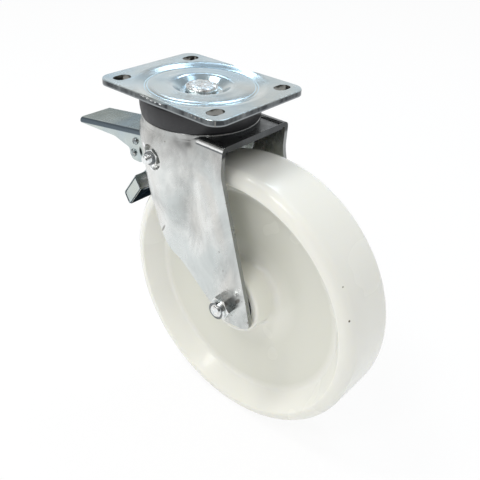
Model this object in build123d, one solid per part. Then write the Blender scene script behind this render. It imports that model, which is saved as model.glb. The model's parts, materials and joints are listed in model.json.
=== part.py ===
from build123d import *
import math
import os

# Heavy-duty swivel castor with a foot brake, in millimetres.
# Frame: origin at the centre of the mounting plate's top face, +Z up, X along the
# wheel axle, +Y towards the brake pedal. The wheel trails towards -Y.

# ---------------------------------------------------------------- mounting plate
PLATE_WIDTH = 110.0           # along X
PLATE_LENGTH = 135.0          # along Y
PLATE_SHEET = 5.0
PLATE_CORNER = 12.0
SLOT_SPACING_X = 80.0
SLOT_SPACING_Y = 105.0
SLOT_WIDTH = 11.0
SLOT_LENGTH = 16.0            # along X
PLATE_EDGE = 0.8              # rounding of the upper edge
DISH_REACH = 2.0              # the pressed dish starts this far past the long edges
DISH_RADIUS = PLATE_WIDTH / 2 + DISH_REACH
GROOVE_WIDTH = 11.0           # from the start of the dish to the bottom of the groove
GROOVE_RADIUS = DISH_RADIUS - GROOVE_WIDTH
GROOVE_DEPTH = 2.7
CROWN_DROP = 1.0              # the ring between groove and recess, below the face
RECESS_RADIUS = 19.0
RECESS_DEPTH = 6.5
RECESS_LIP = (5.0, 1.0)       # the rolled lip round the recess: width, drop
RECESS_TOE = (1.2, 0.8)       # the sloped foot of the recess wall: width, height
RECESS_WALL = 3.2             # thickness of the recess wall
EDGE_DRAW_DEPTH = 1.5         # how far the press has drawn the long edges over
EDGE_DRAW_HALF = 18.0         # half length of that drawn stretch

# ---------------------------------------------------------------- kingpin and races
KINGPIN_HEAD_RADIUS = 14.0
KINGPIN_HEAD_DROP = 0.8       # top of the riveted head below the plate's face
# outline of the head from its crown down: in from the rim, below the top
KINGPIN_HEAD_SHAPE = ((3.5, 0.3), (0.6, 1.6), (0.0, 2.6), (0.8, 5.7))
KINGPIN_NECK_RADIUS = 9.0
KINGPIN_SHANK_RADIUS = 12.0
KINGPIN_FLANGE_RADIUS = 15.0
KINGPIN_FLANGE_THICKNESS = 3.0
KINGPIN_CLEARANCE = 0.6       # round the shank, in the fork's crown
UPPER_BALL_RADIUS = 5.0
UPPER_TRACK_RADIUS = 33.0
UPPER_BALL_COUNT = 14
LOWER_BALL_RADIUS = 3.5
LOWER_TRACK_RADIUS = 20.0
LOWER_BALL_COUNT = 12
TRACK_CLEARANCE = 0.1
UPPER_RACE_LIP = 2.4          # lip of the upper race below its balls' centres
LOWER_RACE_BACK = 2.4         # steel between the crown and the lower balls
LOWER_RACE_LIP = 1.5          # lips of both lower races, from their balls' centres
RACE_CHAMFER = 1.0
RACE_INNER_RADIUS = 25.0
RACE_OUTER_RADIUS = 41.0
LOWER_RACE_INNER = 14.5
LOWER_RACE_OUTER = 26.0
CUP_THICKNESS = 5.6
CUP_CHAMFER = 2.0

# ---------------------------------------------------------------- dust seal
SEAL_RADIUS = 51.6
SEAL_FOOT_RADIUS = 50.2
SEAL_WALL = 3.0
SEAL_LIP = 1.8                # width of the thinned upper lip
SEAL_GAP = 0.4                # running gap under the plate
SEAL_BULGE = 3.1              # widest place of the seal above its middle
SEAL_SEAT = 0.3               # gap to the race inside the seal's foot

# ---------------------------------------------------------------- fork
SHEET = 4.0
CROWN_TOP = -25.0             # top of the round boss that the seal stands on
BOSS_STEP = 1.2
CROWN_HOLLOW = 1.6            # the crown behind the boss, below the ridges over the legs
CROWN_HOLLOW_HALF = 34.0
CROWN_HOLLOW_EDGE = 1.4
CROWN_HOLLOW_START = -20.0
BEND_RADIUS = 5.0
LEG_HALF_TOP = 41.0           # outside of the legs under the crown
HUB_WIDTH = 58.0              # over the wheel's bearings
LEG_GAP = 3.6                 # from the bearings to each leg, at the axle
LEG_HALF_AXLE = HUB_WIDTH / 2 + LEG_GAP + SHEET
LEG_TAPER_TOP = -50.0
LEG_TAPER_END = -158.0
FORK_WINDOW_HALF = 24.0
FORK_WINDOW_TOP = -47.0
FORK_WINDOW_START = 20.0      # nearest edge of the window to the swivel axis
FORK_WINDOW_CORNER = 6.0
FORK_REAR = -61.5
FORK_FOOT = 18.5              # from the axle down to the end of a leg
DRUM_FRONT = 62.0             # past the front of the drum, for the side profile
# side view of a leg, from the axle: outwards, upwards, corner radius
LEG_CORNERS = (
    (5.5, 125.0, 30.0),
    (-29.6, -13.6, 7.0),
    (1.2, -FORK_FOOT, 10.0),
    (86.9, 47.9, 80.0),
    (91.9, 89.0, 5.0),
)
DRUM_LIP = 93.0               # front edge of the drum above the axle
# how the drawn drum stands out from the plane of the legs:
# height, bulge beyond the legs, radius of the concave crease
DRUM_SHAPE = (
    (CROWN_TOP - BOSS_STEP - BEND_RADIUS, 9.6, 7.0),
    (LEG_TAPER_TOP, 10.3, 7.0),
    (-76.0, 8.3, 9.0),
    (-92.0, 7.0, 14.0),
    (-106.0, 4.9, 22.0),
    (-125.0, 2.5, 34.0),
    (LEG_TAPER_END, 0.4, 50.0),
)
BEND_STEPS = 4                # sections round the bend under the crown

# ---------------------------------------------------------------- wheel and axle
AXLE_Y = -66.0
AXLE_Z = -175.0
WHEEL_RADIUS = 125.0
WHEEL_WIDTH = 60.0
RIM_INNER_RADIUS = 98.0
RIM_SQUARENESS = 6.0          # exponent of the rounded rectangle of the rim
TREAD_FLAT = 14.0             # half width of the straight part of the tread
RIM_LIP = 5.0                 # straight inner face of the rim's side
WEB_HALF_RIM = 12.5
WEB_RIM_RADIUS = 100.5
WEB_HALF_HUB = 4.0
HUB_ROOT_RADIUS = 32.0
HUB_FACE_RADIUS = 30.5
HUB_BORE_RADIUS = 18.5        # between the two bearings
AXLE_RADIUS = 6.0
AXLE_HOLE_CLEARANCE = 0.2
BEARING_BORE_RADIUS = 10.0
BEARING_OUTER_RADIUS = 23.5
BEARING_WIDTH = 14.0
BEARING_INNER_WALL = 4.2
BEARING_OUTER_WALL = 4.2
BEARING_BALL_RADIUS = 3.9
BEARING_BALL_COUNT = 7
SHIELD_THICKNESS = 0.8
SHIELD_INSET = 0.6            # behind the faces of the rings
SHIELD_GAP = 0.3              # running gap round the inner ring
SPACER_WALL = 3.4
FIT = 0.05                    # radial clearance of pins, sleeves and bearings
AXLE_HEX = 19.0               # across flats
AXLE_HEAD_HEIGHT = 7.5
AXLE_NUT_HEX_HEIGHT = 8.0
AXLE_NUT_COLLAR_HEIGHT = 3.8
AXLE_THREAD_END = 1.2         # bolt end past its nut
AXLE_NUT_TURN = 56.0          # one corner of the hexagon, degrees from +Y
AXLE_HEAD_TURN = 20.0
BOLT_CHAMFER = 1.2
HEX_FACE_SHARE = 0.97         # round face of a hexagon, as a share of its flats
NUT_COLLAR_INSET = 0.6
NUT_COLLAR_EDGE = (1.0, 1.4)  # rounding of the collar: inwards, along the bolt
LOCK_RING_WALL = 1.9
LOCK_RING_SINK = 0.5          # ring's face behind the collar's

# ---------------------------------------------------------------- brake
PIVOT_Y = 9.6
PIVOT_Z = -54.8
PIVOT_RADIUS = 4.0
PIVOT_HEX = 13.0
PIVOT_HEAD_HEIGHT = 5.3
PIVOT_NUT_HEX_HEIGHT = 6.0
PIVOT_NUT_COLLAR_HEIGHT = 2.4
PIVOT_THREAD_END = 5.0
PIVOT_NUT_TURN = 35.0
PIVOT_HEAD_TURN = 12.0
SEAT_STAND = 3.0              # the pivot's round seats, beyond the legs' outside
SEAT_HALF = LEG_HALF_TOP + SEAT_STAND
SEAT_RADIUS = 9.0
SEAT_DEPTH = 14.0
SEAT_FLARE = 6.1              # widening of the pressing over its depth
SEAT_INNER_GROWTH = 3.2       # the same pressing is this much wider inside
SLEEVE_RADIUS = 7.0
SPACER_RADIUS = 9.0
BRAKE_TRAVEL = 9.0            # degrees from released to pressed
BRAKE_GAP = 0.6               # shoe to tread with the pedal pressed
PEDAL_WIDTH = 40.0
PEDAL_SHEET = 3.0
PEDAL_END_Y = 145.3
PEDAL_INNER_Y = 40.0
PEDAL_SLOPE = 8.35            # degrees, falling outwards
PEDAL_TOP_AT_PIVOT = 7.28     # top line above the pivot, straight over the pivot
PEDAL_BEND_RADIUS = 4.0
PEDAL_LIP = 5.0               # depth of the side flange at the outer end
PEDAL_ROOT = 21.0             # depth of the side flange at the inner end
# lower edge of a flange, from the lower rivet: outwards, upwards, corner radius
PEDAL_FLANGE = (
    (26.2, 8.4, 12.0),
    (6.0, 3.5, 3.0),
    (3.0, -7.0, 5.0),
    (-9.0, -7.0, 6.0),
)
PEDAL_TOE_RADIUS = 2.0
RIVET_UPPER = (63.1, -66.4)
RIVET_LOWER = (66.6, -79.0)
RIVET_UPPER_HEAD = 3.3
RIVET_LOWER_HEAD = 3.6
RIVET_HEAD_HEIGHT = 2.0
RIVET_HEAD_EDGE = 0.7         # straight side of a rivet's head
RIVET_CROWN_SHARE = 0.62      # flat top of the head, as a share of its radius
RIVET_SHANK_RADIUS = 2.5
SHOE_SHEET = 2.5
SHOE_LOBE = 9.0
SHOE_RIVET_LOBE = 5.5
SHOE_START = 3.3              # degrees round the wheel from the pivot's radius
SHOE_END = 14.0
WASHER_THICKNESS = 1.2
SIDE_CLEARANCE = 0.1          # beside each swinging flange
RELEASE_SHEET = 2.5
RELEASE_ARM_WIDTH = 20.0
RELEASE_HUB = 8.2
RELEASE_NECK = 3.5            # half depth of the arm where it meets the tray
TRAY_CORNER_UPPER = (66.1, -102.3)
TRAY_LENGTH = 30.2
TRAY_DEPTH = 14.2
TRAY_FALL = 54.2              # degrees below the horizontal, outwards
TRAY_BACK_TURN = 122.3        # degrees from +Y of the tray's back wall, downwards
TRAY_CORNER_RADIUS = 3.0
OVERCUT = 1.0                 # how far a cut runs past what it cuts

# ---------------------------------------------------------------- derived heights
UPPER_BALL_Z = -(PLATE_SHEET + CROWN_DROP + TRACK_CLEARANCE + UPPER_BALL_RADIUS)
RECESS_UNDERSIDE = -(RECESS_DEPTH + PLATE_SHEET)
CROWN_UNDER = CROWN_TOP - SHEET
SHOULDER_TOP = CROWN_TOP - BOSS_STEP
LOWER_BALL_Z = CROWN_UNDER - LOWER_RACE_BACK - LOWER_BALL_RADIUS
CUP_TOP = LOWER_BALL_Z - LOWER_RACE_LIP
CUP_UNDER = CUP_TOP - CUP_THICKNESS
LEG_INNER = LEG_HALF_AXLE - SHEET
SEAT_INNER = SEAT_HALF - SHEET
HUB_HALF = HUB_WIDTH / 2
BEARING_INSIDE = HUB_HALF - BEARING_WIDTH
BALL_PITCH = (BEARING_BORE_RADIUS + BEARING_OUTER_RADIUS) / 2
PEDAL_HALF = PEDAL_WIDTH / 2
SHOE_HALF = PEDAL_HALF - PEDAL_SHEET
ARM_HALF = RELEASE_ARM_WIDTH / 2
AXLE = Location((0, AXLE_Y, AXLE_Z))
PIVOT = Location((0, PIVOT_Y, PIVOT_Z))


def turned(points):
    """Solid of revolution about Z from a closed (radius, height) outline."""
    with BuildSketch(Plane.XZ) as section:
        with BuildLine():
            Polyline(*points, close=True)
        make_face()
    return revolve(section.sketch, Axis.Z)


def track(radius, height, ball):
    """Ring with a round section: what a ball track removes from a race."""
    return Torus(radius, ball + TRACK_CLEARANCE).moved(Location((0, 0, height)))


def along_x(radius, start, end):
    """Cylinder along X between two stations."""
    rod = Cylinder(radius, end - start, align=(Align.CENTER, Align.CENTER, Align.MIN))
    return rod.moved(Location((start, 0, 0), (0, 90, 0)))


def tube_x(outer, inner, start, end):
    """Tube along X between two stations."""
    return along_x(outer, start, end) - along_x(inner, start - OVERCUT, end + OVERCUT)


def both_sides(solid):
    """The solid and its mirror image across the wheel's plane."""
    return Compound(children=[solid, mirror(solid, Plane.YZ)])


def side_prism(face, half_from, half_to):
    """A YZ face as a slab between two X stations."""
    slab = extrude(face, amount=half_to - half_from, dir=(1, 0, 0))
    return slab.moved(Location((half_from, 0, 0)))


# ================================================================ plate side
def dish():
    """Pressed round centre of the plate: groove, raised ring and recess."""
    crown_z = -CROWN_DROP
    under_groove = -(GROOVE_DEPTH + PLATE_SHEET)
    channel = UPPER_BALL_RADIUS + TRACK_CLEARANCE
    reach = channel * math.cos(math.radians(45))
    lip_z = UPPER_BALL_Z + reach
    hole = KINGPIN_NECK_RADIUS + FIT
    lip_width, lip_drop = RECESS_LIP
    toe_width, toe_height = RECESS_TOE
    with BuildSketch(Plane.XZ) as section:
        with BuildLine():
            slope = Spline(
                (DISH_RADIUS, 0), (GROOVE_RADIUS, -GROOVE_DEPTH), tangents=[(-1, 0), (-1, -0.2)]
            )
            crown = Spline(
                slope @ 1,
                (UPPER_TRACK_RADIUS, crown_z),
                (RECESS_RADIUS + lip_width, crown_z - lip_drop),
                tangents=[(-1, 0.6), (-1, -0.8)],
            )
            wall = Line(crown @ 1, (RECESS_RADIUS, toe_height - RECESS_DEPTH))
            toe = Line(wall @ 1, (RECESS_RADIUS - toe_width, -RECESS_DEPTH))
            floor = Line(toe @ 1, (hole, -RECESS_DEPTH))
            bore = Line(floor @ 1, (hole, RECESS_UNDERSIDE))
            under = Line(bore @ 1, (RECESS_RADIUS + RECESS_WALL, RECESS_UNDERSIDE))
            rise = Line(under @ 1, (UPPER_TRACK_RADIUS - reach, lip_z))
            race = ThreePointArc(
                rise @ 1,
                (UPPER_TRACK_RADIUS, UPPER_BALL_Z + channel),
                (UPPER_TRACK_RADIUS + reach, lip_z),
            )
            land = Line(race @ 1, (GROOVE_RADIUS, under_groove))
            back = Spline(
                land @ 1, (DISH_RADIUS, -PLATE_SHEET), tangents=[(1, 0.1), (1, 0.1)]
            )
            Line(back @ 1, (DISH_RADIUS, 0))
        make_face()
    return revolve(section.sketch, Axis.Z)


def drawn_edge(side):
    """Round cutter along the upper corner of a long edge, deepest at its middle."""
    radius = (EDGE_DRAW_HALF ** 2 + EDGE_DRAW_DEPTH ** 2) / (2 * EDGE_DRAW_DEPTH)
    away = (radius - EDGE_DRAW_DEPTH) / math.sqrt(2)
    centre = (side * (PLATE_WIDTH / 2 + away), 0, away)
    return Cylinder(radius, 2 * PLATE_SHEET).moved(Location(centre, (0, -45 * side, 0)))


def top_plate():
    """Rounded plate with four slots and the pressed dish, whose slope meets the long edges."""
    with BuildPart() as blank:
        with BuildSketch():
            RectangleRounded(PLATE_WIDTH, PLATE_LENGTH, PLATE_CORNER)
        extrude(amount=-2 * PLATE_SHEET)
        fillet(blank.edges().group_by(Axis.Z)[-1], PLATE_EDGE)
    with BuildPart() as flat:
        with BuildSketch():
            Rectangle(PLATE_WIDTH, PLATE_LENGTH)
            with GridLocations(SLOT_SPACING_X, SLOT_SPACING_Y, 2, 2):
                SlotOverall(SLOT_LENGTH, SLOT_WIDTH, mode=Mode.SUBTRACT)
            Circle(DISH_RADIUS, mode=Mode.SUBTRACT)
        extrude(amount=-PLATE_SHEET)
    plate = (flat.part + dish()) & blank.part
    return plate - drawn_edge(-1) - drawn_edge(1)


def kingpin():
    """Riveted pin: hammered head, neck in the plate, shank and bottom flange."""
    head_top = -KINGPIN_HEAD_DROP
    flange_under = CUP_UNDER - KINGPIN_FLANGE_THICKNESS
    head = [(KINGPIN_HEAD_RADIUS - inset, head_top - drop) for inset, drop in KINGPIN_HEAD_SHAPE]
    return turned([
        (0, head_top),
        *head,
        (KINGPIN_NECK_RADIUS, -RECESS_DEPTH),
        (KINGPIN_NECK_RADIUS, RECESS_UNDERSIDE),
        (KINGPIN_SHANK_RADIUS, RECESS_UNDERSIDE),
        (KINGPIN_SHANK_RADIUS, CUP_UNDER),
        (KINGPIN_FLANGE_RADIUS, CUP_UNDER),
        (KINGPIN_FLANGE_RADIUS, flange_under + RACE_CHAMFER),
        (KINGPIN_FLANGE_RADIUS - RACE_CHAMFER, flange_under),
        (0, flange_under),
    ])


def bearing_cup():
    """Lower race on the kingpin, under the lower balls."""
    bore = KINGPIN_SHANK_RADIUS + FIT
    ring = turned([
        (bore, CUP_TOP),
        (LOWER_RACE_OUTER, CUP_TOP),
        (LOWER_RACE_OUTER, CUP_UNDER + CUP_CHAMFER),
        (LOWER_RACE_OUTER - CUP_CHAMFER, CUP_UNDER),
        (bore, CUP_UNDER),
    ])
    return ring - track(LOWER_TRACK_RADIUS, LOWER_BALL_Z, LOWER_BALL_RADIUS)


def ball_ring(radius, pitch, height, count):
    """Loose balls evenly round a track."""
    with PolarLocations(pitch, count) as places:
        spots = list(places)
    balls = [Sphere(radius).moved(Location((0, 0, height)) * spot) for spot in spots]
    return Compound(children=balls)


# ================================================================ fork side
def upper_race():
    """Hard ring on the crown, under the upper balls."""
    lip = UPPER_BALL_Z - UPPER_RACE_LIP
    ring = turned([
        (RACE_INNER_RADIUS, CROWN_TOP),
        (RACE_OUTER_RADIUS, CROWN_TOP),
        (RACE_OUTER_RADIUS, lip - RACE_CHAMFER),
        (RACE_OUTER_RADIUS - RACE_CHAMFER, lip),
        (RACE_INNER_RADIUS, lip),
    ])
    return ring - track(UPPER_TRACK_RADIUS, UPPER_BALL_Z, UPPER_BALL_RADIUS)


def lower_race():
    """Hard ring under the crown, over the lower balls."""
    lip = LOWER_BALL_Z + LOWER_RACE_LIP
    ring = turned([
        (LOWER_RACE_INNER, CROWN_UNDER),
        (LOWER_RACE_OUTER, CROWN_UNDER),
        (LOWER_RACE_OUTER, lip),
        (LOWER_RACE_INNER, lip),
    ])
    return ring - track(LOWER_TRACK_RADIUS, LOWER_BALL_Z, LOWER_BALL_RADIUS)


def swivel_seal():
    """Moulded ring that closes the ball race, standing on the crown."""
    top = -PLATE_SHEET - GROOVE_DEPTH - SEAL_GAP
    widest = (top + CROWN_TOP) / 2 + SEAL_BULGE
    foot_inner = RACE_OUTER_RADIUS + SEAL_SEAT
    return turned([
        (foot_inner, CROWN_TOP),
        (SEAL_FOOT_RADIUS, CROWN_TOP),
        (SEAL_RADIUS, widest),
        (SEAL_RADIUS - SEAL_LIP / 3, top),
        (SEAL_RADIUS - SEAL_LIP, top),
        (SEAL_RADIUS - SEAL_WALL, top - SEAL_LIP),
        (SEAL_FOOT_RADIUS - SEAL_WALL, CROWN_TOP + SEAL_WALL),
        (foot_inner, CROWN_TOP + SEAL_WALL),
    ])


def fork_outline(z, half, drum, crease):
    """Plan outline of the drawn fork: flat sides, concave creases, round drum."""
    rear = AXLE_Y - 2 * FORK_FOOT
    centre = (half + crease, -math.sqrt((drum + crease) ** 2 - (half + crease) ** 2))
    share = drum / (drum + crease)
    on_side = (half, centre[1])
    on_drum = (centre[0] * share, centre[1] * share)
    turn = math.atan2(on_drum[1] - centre[1], on_drum[0] - centre[0]) % (2 * math.pi)
    mean = (math.pi + turn) / 2
    hollow = (centre[0] + crease * math.cos(mean), centre[1] + crease * math.sin(mean))

    def flip(point):
        return (-point[0], point[1])

    with BuildSketch(Plane.XY.offset(z)) as outline:
        with BuildLine():
            Line((-half, rear), (half, rear))
            Line((half, rear), on_side)
            ThreePointArc(on_side, hollow, on_drum)
            ThreePointArc(on_drum, (0, drum), flip(on_drum))
            ThreePointArc(flip(on_drum), flip(hollow), flip(on_side))
            Line(flip(on_side), (-half, rear))
        make_face()
    return outline.sketch.faces()[0]


def leg_half(z):
    """Half width over the legs at a height."""
    share = (LEG_TAPER_TOP - z) / (LEG_TAPER_TOP - LEG_TAPER_END)
    return LEG_HALF_TOP - (LEG_HALF_TOP - LEG_HALF_AXLE) * min(max(share, 0.0), 1.0)


def crown_hollow(top):
    """Shallow channel behind the boss, between the two ridges."""
    channel = Box(2 * CROWN_HOLLOW_HALF, LEG_HALF_TOP, LEG_HALF_TOP,
                  align=(Align.CENTER, Align.MAX, Align.MIN))
    channel = fillet(channel.edges().filter_by(Axis.Y).group_by(Axis.Z)[0], CROWN_HOLLOW_EDGE)
    return channel.moved(Location((0, CROWN_HOLLOW_START, top - CROWN_HOLLOW)))


def drawn_body(inset):
    """The fork's closed form, drawn in by an inset: outside at 0, cavity at the sheet."""
    sections = []
    for z, bulge, crease in DRUM_SHAPE:
        half = leg_half(z) - inset
        sections.append(fork_outline(z, half, half + bulge, crease + inset))
    body = loft(sections[::-1])
    neck_z, neck_bulge, neck_crease = DRUM_SHAPE[0]
    half = LEG_HALF_TOP - inset
    bend = BEND_RADIUS - inset
    rings = []
    for step in range(BEND_STEPS + 1):
        angle = math.pi / 2 * step / BEND_STEPS
        draw = bend * (1 - math.cos(angle))
        rings.append(fork_outline(neck_z + bend * math.sin(angle), half - draw,
                                  half + neck_bulge - draw, neck_crease + inset + draw))
    body += loft(rings)
    body += extrude(sections[-1], amount=-2 * FORK_FOOT - (LEG_TAPER_END - AXLE_Z))
    body -= crown_hollow(SHOULDER_TOP - inset)
    boss_depth = BOSS_STEP + CROWN_HOLLOW + SHEET
    boss = Cylinder(
        SEAL_FOOT_RADIUS - inset, boss_depth, align=(Align.CENTER, Align.CENTER, Align.MAX))
    boss = boss.moved(Location((0, 0, CROWN_TOP - inset)))
    if inset == 0:
        boss = fillet(boss.edges().group_by(Axis.Z)[-1], BOSS_STEP)
    return body + boss


def fork_side_profile():
    """Side view of the fork: raked legs, rounded feet, drum open at the front."""
    corners = [(AXLE_Y + y, AXLE_Z + z) for y, z, _ in LEG_CORNERS]
    roof = CROWN_TOP + OVERCUT
    with BuildSketch(Plane.YZ) as side:
        with BuildLine():
            Polyline((FORK_REAR, roof), *corners, (DRUM_FRONT, AXLE_Z + DRUM_LIP),
                     (DRUM_FRONT, roof), close=True)
        make_face()
        for (y, z), (_, _, radius) in zip(corners, LEG_CORNERS):
            fillet(side.vertices().sort_by_distance((y, z, 0))[0], radius)
    return extrude(side.sketch, amount=2 * LEG_HALF_TOP, both=True)


def pivot_seat(half, radius):
    """Flared plug along X that presses the round flat for the brake pivot."""
    plug = Cone(radius, radius + SEAT_FLARE, SEAT_DEPTH,
                align=(Align.CENTER, Align.CENTER, Align.MIN))
    plug = plug.moved(PIVOT * Location((half, 0, 0), (0, 90, 0)))
    return plug + mirror(plug, Plane.YZ)


def fork():
    """Fork drawn from one sheet: crown, drum and two raked legs."""
    outside = drawn_body(0.0) - pivot_seat(SEAT_HALF, SEAT_RADIUS)
    inside = drawn_body(SHEET) - pivot_seat(SEAT_INNER, SEAT_RADIUS + SEAT_INNER_GROWTH)
    shell = (outside - inside) & fork_side_profile()
    window = Box(2 * FORK_WINDOW_HALF, DRUM_FRONT, DRUM_FRONT,
                 align=(Align.CENTER, Align.MIN, Align.MAX))
    window = fillet(window.edges().filter_by(Axis.Y).group_by(Axis.Z)[-1], FORK_WINDOW_CORNER)
    shell -= window.moved(Location((0, FORK_WINDOW_START, FORK_WINDOW_TOP)))
    pin_hole = Cylinder(KINGPIN_SHANK_RADIUS + KINGPIN_CLEARANCE, 4 * SHEET)
    shell -= pin_hole.moved(Location((0, 0, CROWN_TOP)))
    reach = 2 * LEG_HALF_TOP
    shell -= along_x(AXLE_RADIUS + AXLE_HOLE_CLEARANCE, -reach, reach).moved(AXLE)
    shell -= along_x(PIVOT_RADIUS + AXLE_HOLE_CLEARANCE, -reach, reach).moved(PIVOT)
    return shell.solids().sort_by(SortBy.VOLUME)[-1]


# ================================================================ fasteners along X
def hexagon(across, start, end, turn):
    """Hexagonal prism along X with its corners turned from +Y."""
    with BuildSketch(Plane.YZ) as six:
        RegularPolygon(across / 2, 6, major_radius=False, rotation=turn)
    prism = extrude(six.sketch, amount=end - start, dir=(1, 0, 0))
    return prism.moved(Location((start, 0, 0)))


def chamfered_hex(across, start, end, turn, outward):
    """Hexagon whose outer corners are turned off at 30 degrees."""
    reach = across / math.sqrt(3) + OVERCUT
    face = across / 2 * HEX_FACE_SHARE
    rise = (reach - face) * math.tan(math.radians(30))
    length = end - start
    if outward > 0:
        outline = [(0, 0), (reach, 0), (reach, length - rise), (face, length), (0, length)]
    else:
        outline = [(0, 0), (face, 0), (reach, rise), (reach, length), (0, length)]
    blank = turned(outline).moved(Location((start, 0, 0), (0, 90, 0)))
    return hexagon(across, start, end, turn) & blank


def bolt(radius, across, head_height, seat, end, turn):
    """Hexagon bolt: head against +seat, shank to the far side, chamfered end."""
    shank = turned([(0, 0), (radius - BOLT_CHAMFER, 0), (radius, BOLT_CHAMFER),
                    (radius, seat - end), (0, seat - end)])
    shank = shank.moved(Location((end, 0, 0), (0, 90, 0)))
    return shank + chamfered_hex(across, seat, seat + head_height, turn, 1)


def lock_nut(radius, across, hex_height, collar_height, seat, turn):
    """Nut with a locking collar, its pocket open for the nylon ring."""
    outer = -seat - hex_height
    face = outer - collar_height
    body = chamfered_hex(across, outer, -seat, turn, -1)
    collar_radius = across / 2 - NUT_COLLAR_INSET
    edge_in, edge_along = NUT_COLLAR_EDGE
    root = collar_height + OVERCUT
    collar = turned([(0, 0), (collar_radius - edge_in, 0), (collar_radius, edge_along),
                     (collar_radius, root), (0, root)])
    body += collar.moved(Location((face, 0, 0), (0, 90, 0)))
    body -= along_x(radius + FIT, face - OVERCUT, OVERCUT - seat)
    return body - along_x(radius + LOCK_RING_WALL, face - OVERCUT, outer)


def nylon_ring(radius, hex_height, collar_height, seat):
    """Locking ring in the collar of a nut."""
    outer = -seat - hex_height
    return tube_x(radius + LOCK_RING_WALL - FIT, radius + FIT,
                  outer - collar_height + LOCK_RING_SINK, outer)


def axle_end():
    """Station of the axle bolt's free end."""
    return -(LEG_HALF_AXLE + AXLE_NUT_HEX_HEIGHT + AXLE_NUT_COLLAR_HEIGHT + AXLE_THREAD_END)


def axle_bolt():
    """M12 bolt through legs, sleeve and wheel."""
    part = bolt(AXLE_RADIUS, AXLE_HEX, AXLE_HEAD_HEIGHT, LEG_HALF_AXLE, axle_end(),
                AXLE_HEAD_TURN)
    return part.moved(AXLE)


def axle_nut():
    """M12 lock nut on the near leg."""
    part = lock_nut(AXLE_RADIUS, AXLE_HEX, AXLE_NUT_HEX_HEIGHT, AXLE_NUT_COLLAR_HEIGHT,
                    LEG_HALF_AXLE, AXLE_NUT_TURN)
    return part.moved(AXLE)


def pivot_bolt():
    """M8 bolt across the drum, on which the brake swings."""
    end = -(SEAT_HALF + PIVOT_NUT_HEX_HEIGHT + PIVOT_NUT_COLLAR_HEIGHT + PIVOT_THREAD_END)
    part = bolt(PIVOT_RADIUS, PIVOT_HEX, PIVOT_HEAD_HEIGHT, SEAT_HALF, end, PIVOT_HEAD_TURN)
    return part.moved(PIVOT)


def pivot_nut():
    """M8 lock nut in the near seat of the drum."""
    part = lock_nut(PIVOT_RADIUS, PIVOT_HEX, PIVOT_NUT_HEX_HEIGHT, PIVOT_NUT_COLLAR_HEIGHT,
                    SEAT_HALF, PIVOT_NUT_TURN)
    return part.moved(PIVOT)


def nylon_rings():
    """The white locking rings of both nuts."""
    at_axle = nylon_ring(AXLE_RADIUS, AXLE_NUT_HEX_HEIGHT, AXLE_NUT_COLLAR_HEIGHT,
                         LEG_HALF_AXLE)
    at_pivot = nylon_ring(PIVOT_RADIUS, PIVOT_NUT_HEX_HEIGHT, PIVOT_NUT_COLLAR_HEIGHT,
                          SEAT_HALF)
    return Compound(children=[at_axle.moved(AXLE), at_pivot.moved(PIVOT)])


# ================================================================ wheel
def wheel():
    """Solid moulded wheel: rounded rim, dished web, conical hub."""
    half = WHEEL_WIDTH / 2
    lip_radius = RIM_INNER_RADIUS - RIM_LIP
    depth = WHEEL_RADIUS - RIM_INNER_RADIUS
    power = 2 / RIM_SQUARENESS
    rim = [(TREAD_FLAT, WHEEL_RADIUS)]
    for angle in (60, 45, 30, 18, 9, 3):
        turn = math.radians(angle)
        rim.append((half * math.cos(turn) ** power,
                    RIM_INNER_RADIUS + depth * math.sin(turn) ** power))
    rim.append((half, RIM_INNER_RADIUS))
    pocket = BEARING_OUTER_RADIUS + FIT
    with BuildSketch(Plane.XY) as section:
        with BuildLine():
            flat = Line((0, WHEEL_RADIUS), (TREAD_FLAT, WHEEL_RADIUS))
            shoulder = Spline(*rim, tangents=[(1, 0), (0, -1)])
            lip = Line(shoulder @ 1, (half, lip_radius))
            under = Line(lip @ 1, (WEB_HALF_RIM, WEB_RIM_RADIUS))
            web = Line(under @ 1, (WEB_HALF_HUB, HUB_ROOT_RADIUS))
            cone = Line(web @ 1, (HUB_HALF, HUB_FACE_RADIUS))
            face = Line(cone @ 1, (HUB_HALF, pocket))
            seat = Line(face @ 1, (BEARING_INSIDE, pocket))
            step = Line(seat @ 1, (BEARING_INSIDE, HUB_BORE_RADIUS))
            bore = Line(step @ 1, (0, HUB_BORE_RADIUS))
            Line(bore @ 1, flat @ 0)
        make_face()
        corners = (
            ((half, lip_radius), 3.0),
            ((WEB_HALF_RIM, WEB_RIM_RADIUS), 4.0),
            ((WEB_HALF_HUB, HUB_ROOT_RADIUS), 6.0),
            ((HUB_HALF, HUB_FACE_RADIUS), 3.0),
        )
        for (x, r), radius in corners:
            fillet(section.vertices().sort_by_distance((x, r, 0))[0], radius)
    half_wheel = revolve(section.sketch, Axis.X)
    return (half_wheel + mirror(half_wheel, Plane.YZ)).moved(AXLE)


def bearing_track(station):
    """Ring removed from both rings of a wheel bearing by its ball track."""
    ring = Torus(BALL_PITCH, BEARING_BALL_RADIUS + TRACK_CLEARANCE)
    return ring.moved(Location((station, 0, 0), (0, 90, 0)))


def wheel_bearing_rings(outer, inner):
    """Both bearings' inner or outer rings."""
    middle = HUB_HALF - BEARING_WIDTH / 2
    ring = tube_x(outer, inner, BEARING_INSIDE, HUB_HALF) - bearing_track(middle)
    return both_sides(ring).moved(AXLE)


def bearing_balls():
    """Balls of both wheel bearings."""
    middle = HUB_HALF - BEARING_WIDTH / 2
    balls = []
    for side in (-1, 1):
        for index in range(BEARING_BALL_COUNT):
            angle = 2 * math.pi * index / BEARING_BALL_COUNT
            spot = Location((side * middle, BALL_PITCH * math.cos(angle),
                             BALL_PITCH * math.sin(angle)))
            balls.append(Sphere(BEARING_BALL_RADIUS).moved(AXLE * spot))
    return Compound(children=balls)


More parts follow.
